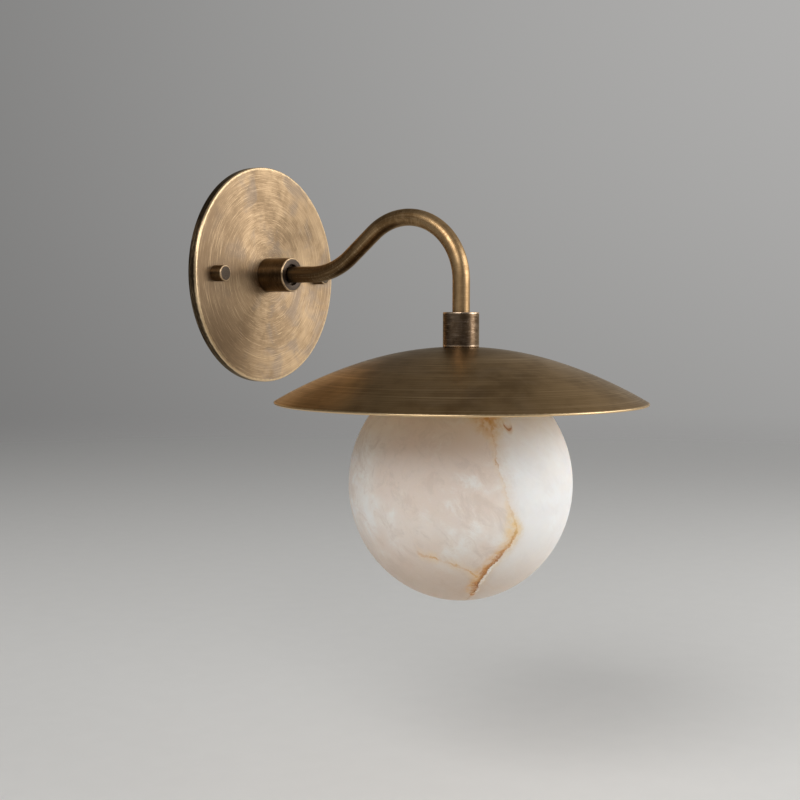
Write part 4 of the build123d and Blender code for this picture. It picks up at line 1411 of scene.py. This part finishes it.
def cover_side(inset):
    """One face of the cover's wall, from its rim down to just short of the tip of its round end."""
    radius = COVER_RADIUS - inset
    turns = [step / COVER_STEPS * math.pi / 2 for step in range(COVER_STEPS)]
    centre = cover_low + COVER_RADIUS
    return [(radius, base_low)] + [(radius * math.cos(turn), centre - radius * math.sin(turn)) for turn in turns]


cover_rows = [(0.0, cover_low + COVER_SHEET)] + cover_side(COVER_SHEET)[::-1] + cover_side(0.0) + [(0.0, cover_low)]
cover_rows = spaced(cover_rows, 2.0, closed=False)
hardware("frosted_cover", cover_rows, "bulb_diffuser", ON_LAMP, "bulb", 64, sharp=50)

# %% Light chips
CHIP, CHIP_EDGE = Vector((2.0, 0.5, 1.6)), 0.1
CHIP_ROWS, CHIP_PITCH, CHIP_COLUMN, FIRST_CHIP = 6, 2.1, 1.9, 2.0
BOARD_HALF = 0.5
phosphor = soft_matter("phosphor", (0.86, 0.72, 0.20), (0.80, 0.62, 0.12), 0.45, 0.6)
chips = bmesh.new()
for board_side in (-1, 1):
    for column in (-CHIP_COLUMN, CHIP_COLUMN):
        for row in range(CHIP_ROWS):
            spot = shifted(column, board_side * (BOARD_HALF + CHIP.y / 2), base_low - FIRST_CHIP - row * CHIP_PITCH)
            bmesh.ops.create_cube(chips, size=MM, matrix=spot @ Matrix.Diagonal((*CHIP, 1.0)))
round_edges(chips, chips.edges[:], CHIP_EDGE)
stand_in(new_piece("light_chips", chips, sharp=50), ON_LAMP, "bulb", phosphor, "bulb_led_board")

# %% [markdown]
# ## Floor
# The light is shown over a pale floor, far enough below the globe to clear it. A plain disc would end in a hard
# horizon, so this one fades out with distance, and it is clear from below. From here on sizes are in metres, unless a
# shader takes them.

# %% Floor
FLOOR_DROP, FLOOR_RADIUS = 0.12, 4.0
FADE_START, FADE_END = 700.0, 3200.0
floor_mesh = bmesh.new()
bmesh.ops.create_circle(floor_mesh, cap_ends=True, radius=FLOOR_RADIUS, segments=96)
floor_data = bpy.data.meshes.new("floor")
floor_mesh.to_mesh(floor_data)
floor_mesh.free()
floor = bpy.data.objects.new("floor", floor_data)
floor.location = (0.0, -reach * MM, globe_low.z * MM - FLOOR_DROP)
bpy.context.scene.collection.objects.link(floor)
pale, pale_shader, place = start_finish("pale_floor", {"Roughness": 0.9})
x, y, _ = place.parts()
from_below = place.node("ShaderNodeNewGeometry", output="Backfacing")
feed(pale_shader, {
    "Base Color": place.noise(0.05, 3.0, 0.5).mix((0.76, 0.76, 0.75), (0.79, 0.79, 0.78)),
    "Alpha": apart(x, y).fall(FADE_START, FADE_END) * (1 - from_below),
})
wear(floor.data, pale)
print("floor at", round(floor.location.z, 4))

# %% [markdown]
# ## Room light
# Brass shows little else than what it mirrors, so the room round it matters as much as the lamps. An image of a
# studio would do, but a sum of soft glows is easier to steer: each has a direction, a tightness and a strength. Here
# the room is brighter on the right, and a narrow glow lies at the back on the left. A strength below nought makes a
# side darker, as behind the camera, where the brass would otherwise mirror too pale a room.

# %% Room light
ROOM_LEVEL, CEILING, WALL_SIDE = 0.18, 0.3, 0.4
ROOM_COLOUR = (1.0, 0.99, 0.975)
GLOWS = [
    ((0.80, -0.55, 0.25), 4.0, 0.40), ((0.0, -0.45, 0.90), 3.0, 0.12), ((0.88, 0.40, 0.25), 6.0, 0.24),
    ((-0.86, 0.50, 0.14), 14.0, 0.28), ((-0.83, -0.56, 0.0), 5.0, -0.13),
]
world = bpy.data.worlds.new("studio")
bpy.context.scene.world = world
world.use_nodes = True
direction = first_field(world.node_tree, "Generated")
_, y, z = direction.parts()
level = ROOM_LEVEL * (1 + z.rise(0.15, 0.9) * CEILING) * (1 - y.rise(-0.3, 0.7) * WALL_SIDE)
for aim, tightness, strength in GLOWS:
    towards = direction.vector("DOT_PRODUCT", tuple(Vector(aim).normalized()), output=1).at_least(0.0)
    level = level + towards**tightness * strength
feed(world.node_tree.nodes["Background"], {"Color": level.mix((0.0, 0.0, 0.0), ROOM_COLOUR)})
print("room light from", len(GLOWS), "glows")

# %% [markdown]
# ## Lamps
# Two broad lamps, one on the right and one high on the left, light the stone and the face of the brass, and a tall
# narrow one draws the bright line down upright brass. Point lamps would be simpler, but a mirrored point is a hard
# dot, so each lamp is a glowing ellipse that faces the light.

# %% Lamps
LAMP_COLOUR = (1.0, 0.985, 0.965)
LAMPS = [  # name, direction, distance, width, height and watts
    ("window_lamp", (0.46, -0.85, 0.33), 1.6, 2.2, 1.0, 13.8),
    ("strip_lamp", (0.36, -0.93, 0.02), 1.6, 0.66, 1.2, 4.4),
    ("front_lamp", (-0.80, -0.16, 0.58), 1.8, 1.4, 1.0, 18.5),
]
target = Vector((0.0, -reach * MM * 0.7, -0.06))
for name, aim, distance, width, tall, watts in LAMPS:
    lamp = bpy.data.lights.new(name, "AREA")
    lamp.shape = "ELLIPSE"
    lamp.size, lamp.size_y = width, tall
    lamp.energy = watts
    lamp.color = LAMP_COLOUR
    holder = bpy.data.objects.new(name, lamp)
    aim = Vector(aim).normalized()
    holder.location = target + aim * distance
    holder.rotation_euler = aim.to_track_quat("Z", "Y").to_euler()
    bpy.context.scene.collection.objects.link(holder)
    print(name, watts, "W")

# %% [markdown]
# ## Camera
# The camera stands where the photograph was taken from: to the left of the arm, level with the shade. It could be
# aimed by eye, but its place and lens were found by matching the outlines of the backplate, the shade and the globe.

# %% Camera
SENSOR, PICTURE, FOCAL_PIXELS = 36.0, 800, 1347.8
CAMERA_SPOT = Vector((-0.62641, -0.52029, -0.02225))
YAW, PITCH, ROLL = (math.radians(angle) for angle in (56.163, 3.699, 0.114))
ahead = Vector((math.sin(YAW) * math.cos(PITCH), math.cos(YAW) * math.cos(PITCH), -math.sin(PITCH)))
level_right = Vector((math.cos(YAW), -math.sin(YAW), 0.0))
level_up = level_right.cross(ahead)
right = math.cos(ROLL) * level_right + math.sin(ROLL) * level_up
up = math.cos(ROLL) * level_up - math.sin(ROLL) * level_right
lens = bpy.data.cameras.new("camera")
lens.sensor_width = SENSOR
lens.lens = FOCAL_PIXELS / PICTURE * SENSOR
camera = bpy.data.objects.new("camera", lens)
camera.matrix_world = Matrix.Translation(CAMERA_SPOT) @ Matrix((right, up, -ahead)).transposed().to_4x4()
bpy.context.scene.collection.objects.link(camera)
bpy.context.scene.camera = camera
bpy.context.scene.view_settings.view_transform = "Standard"
print("lens", round(lens.lens, 2), "mm")
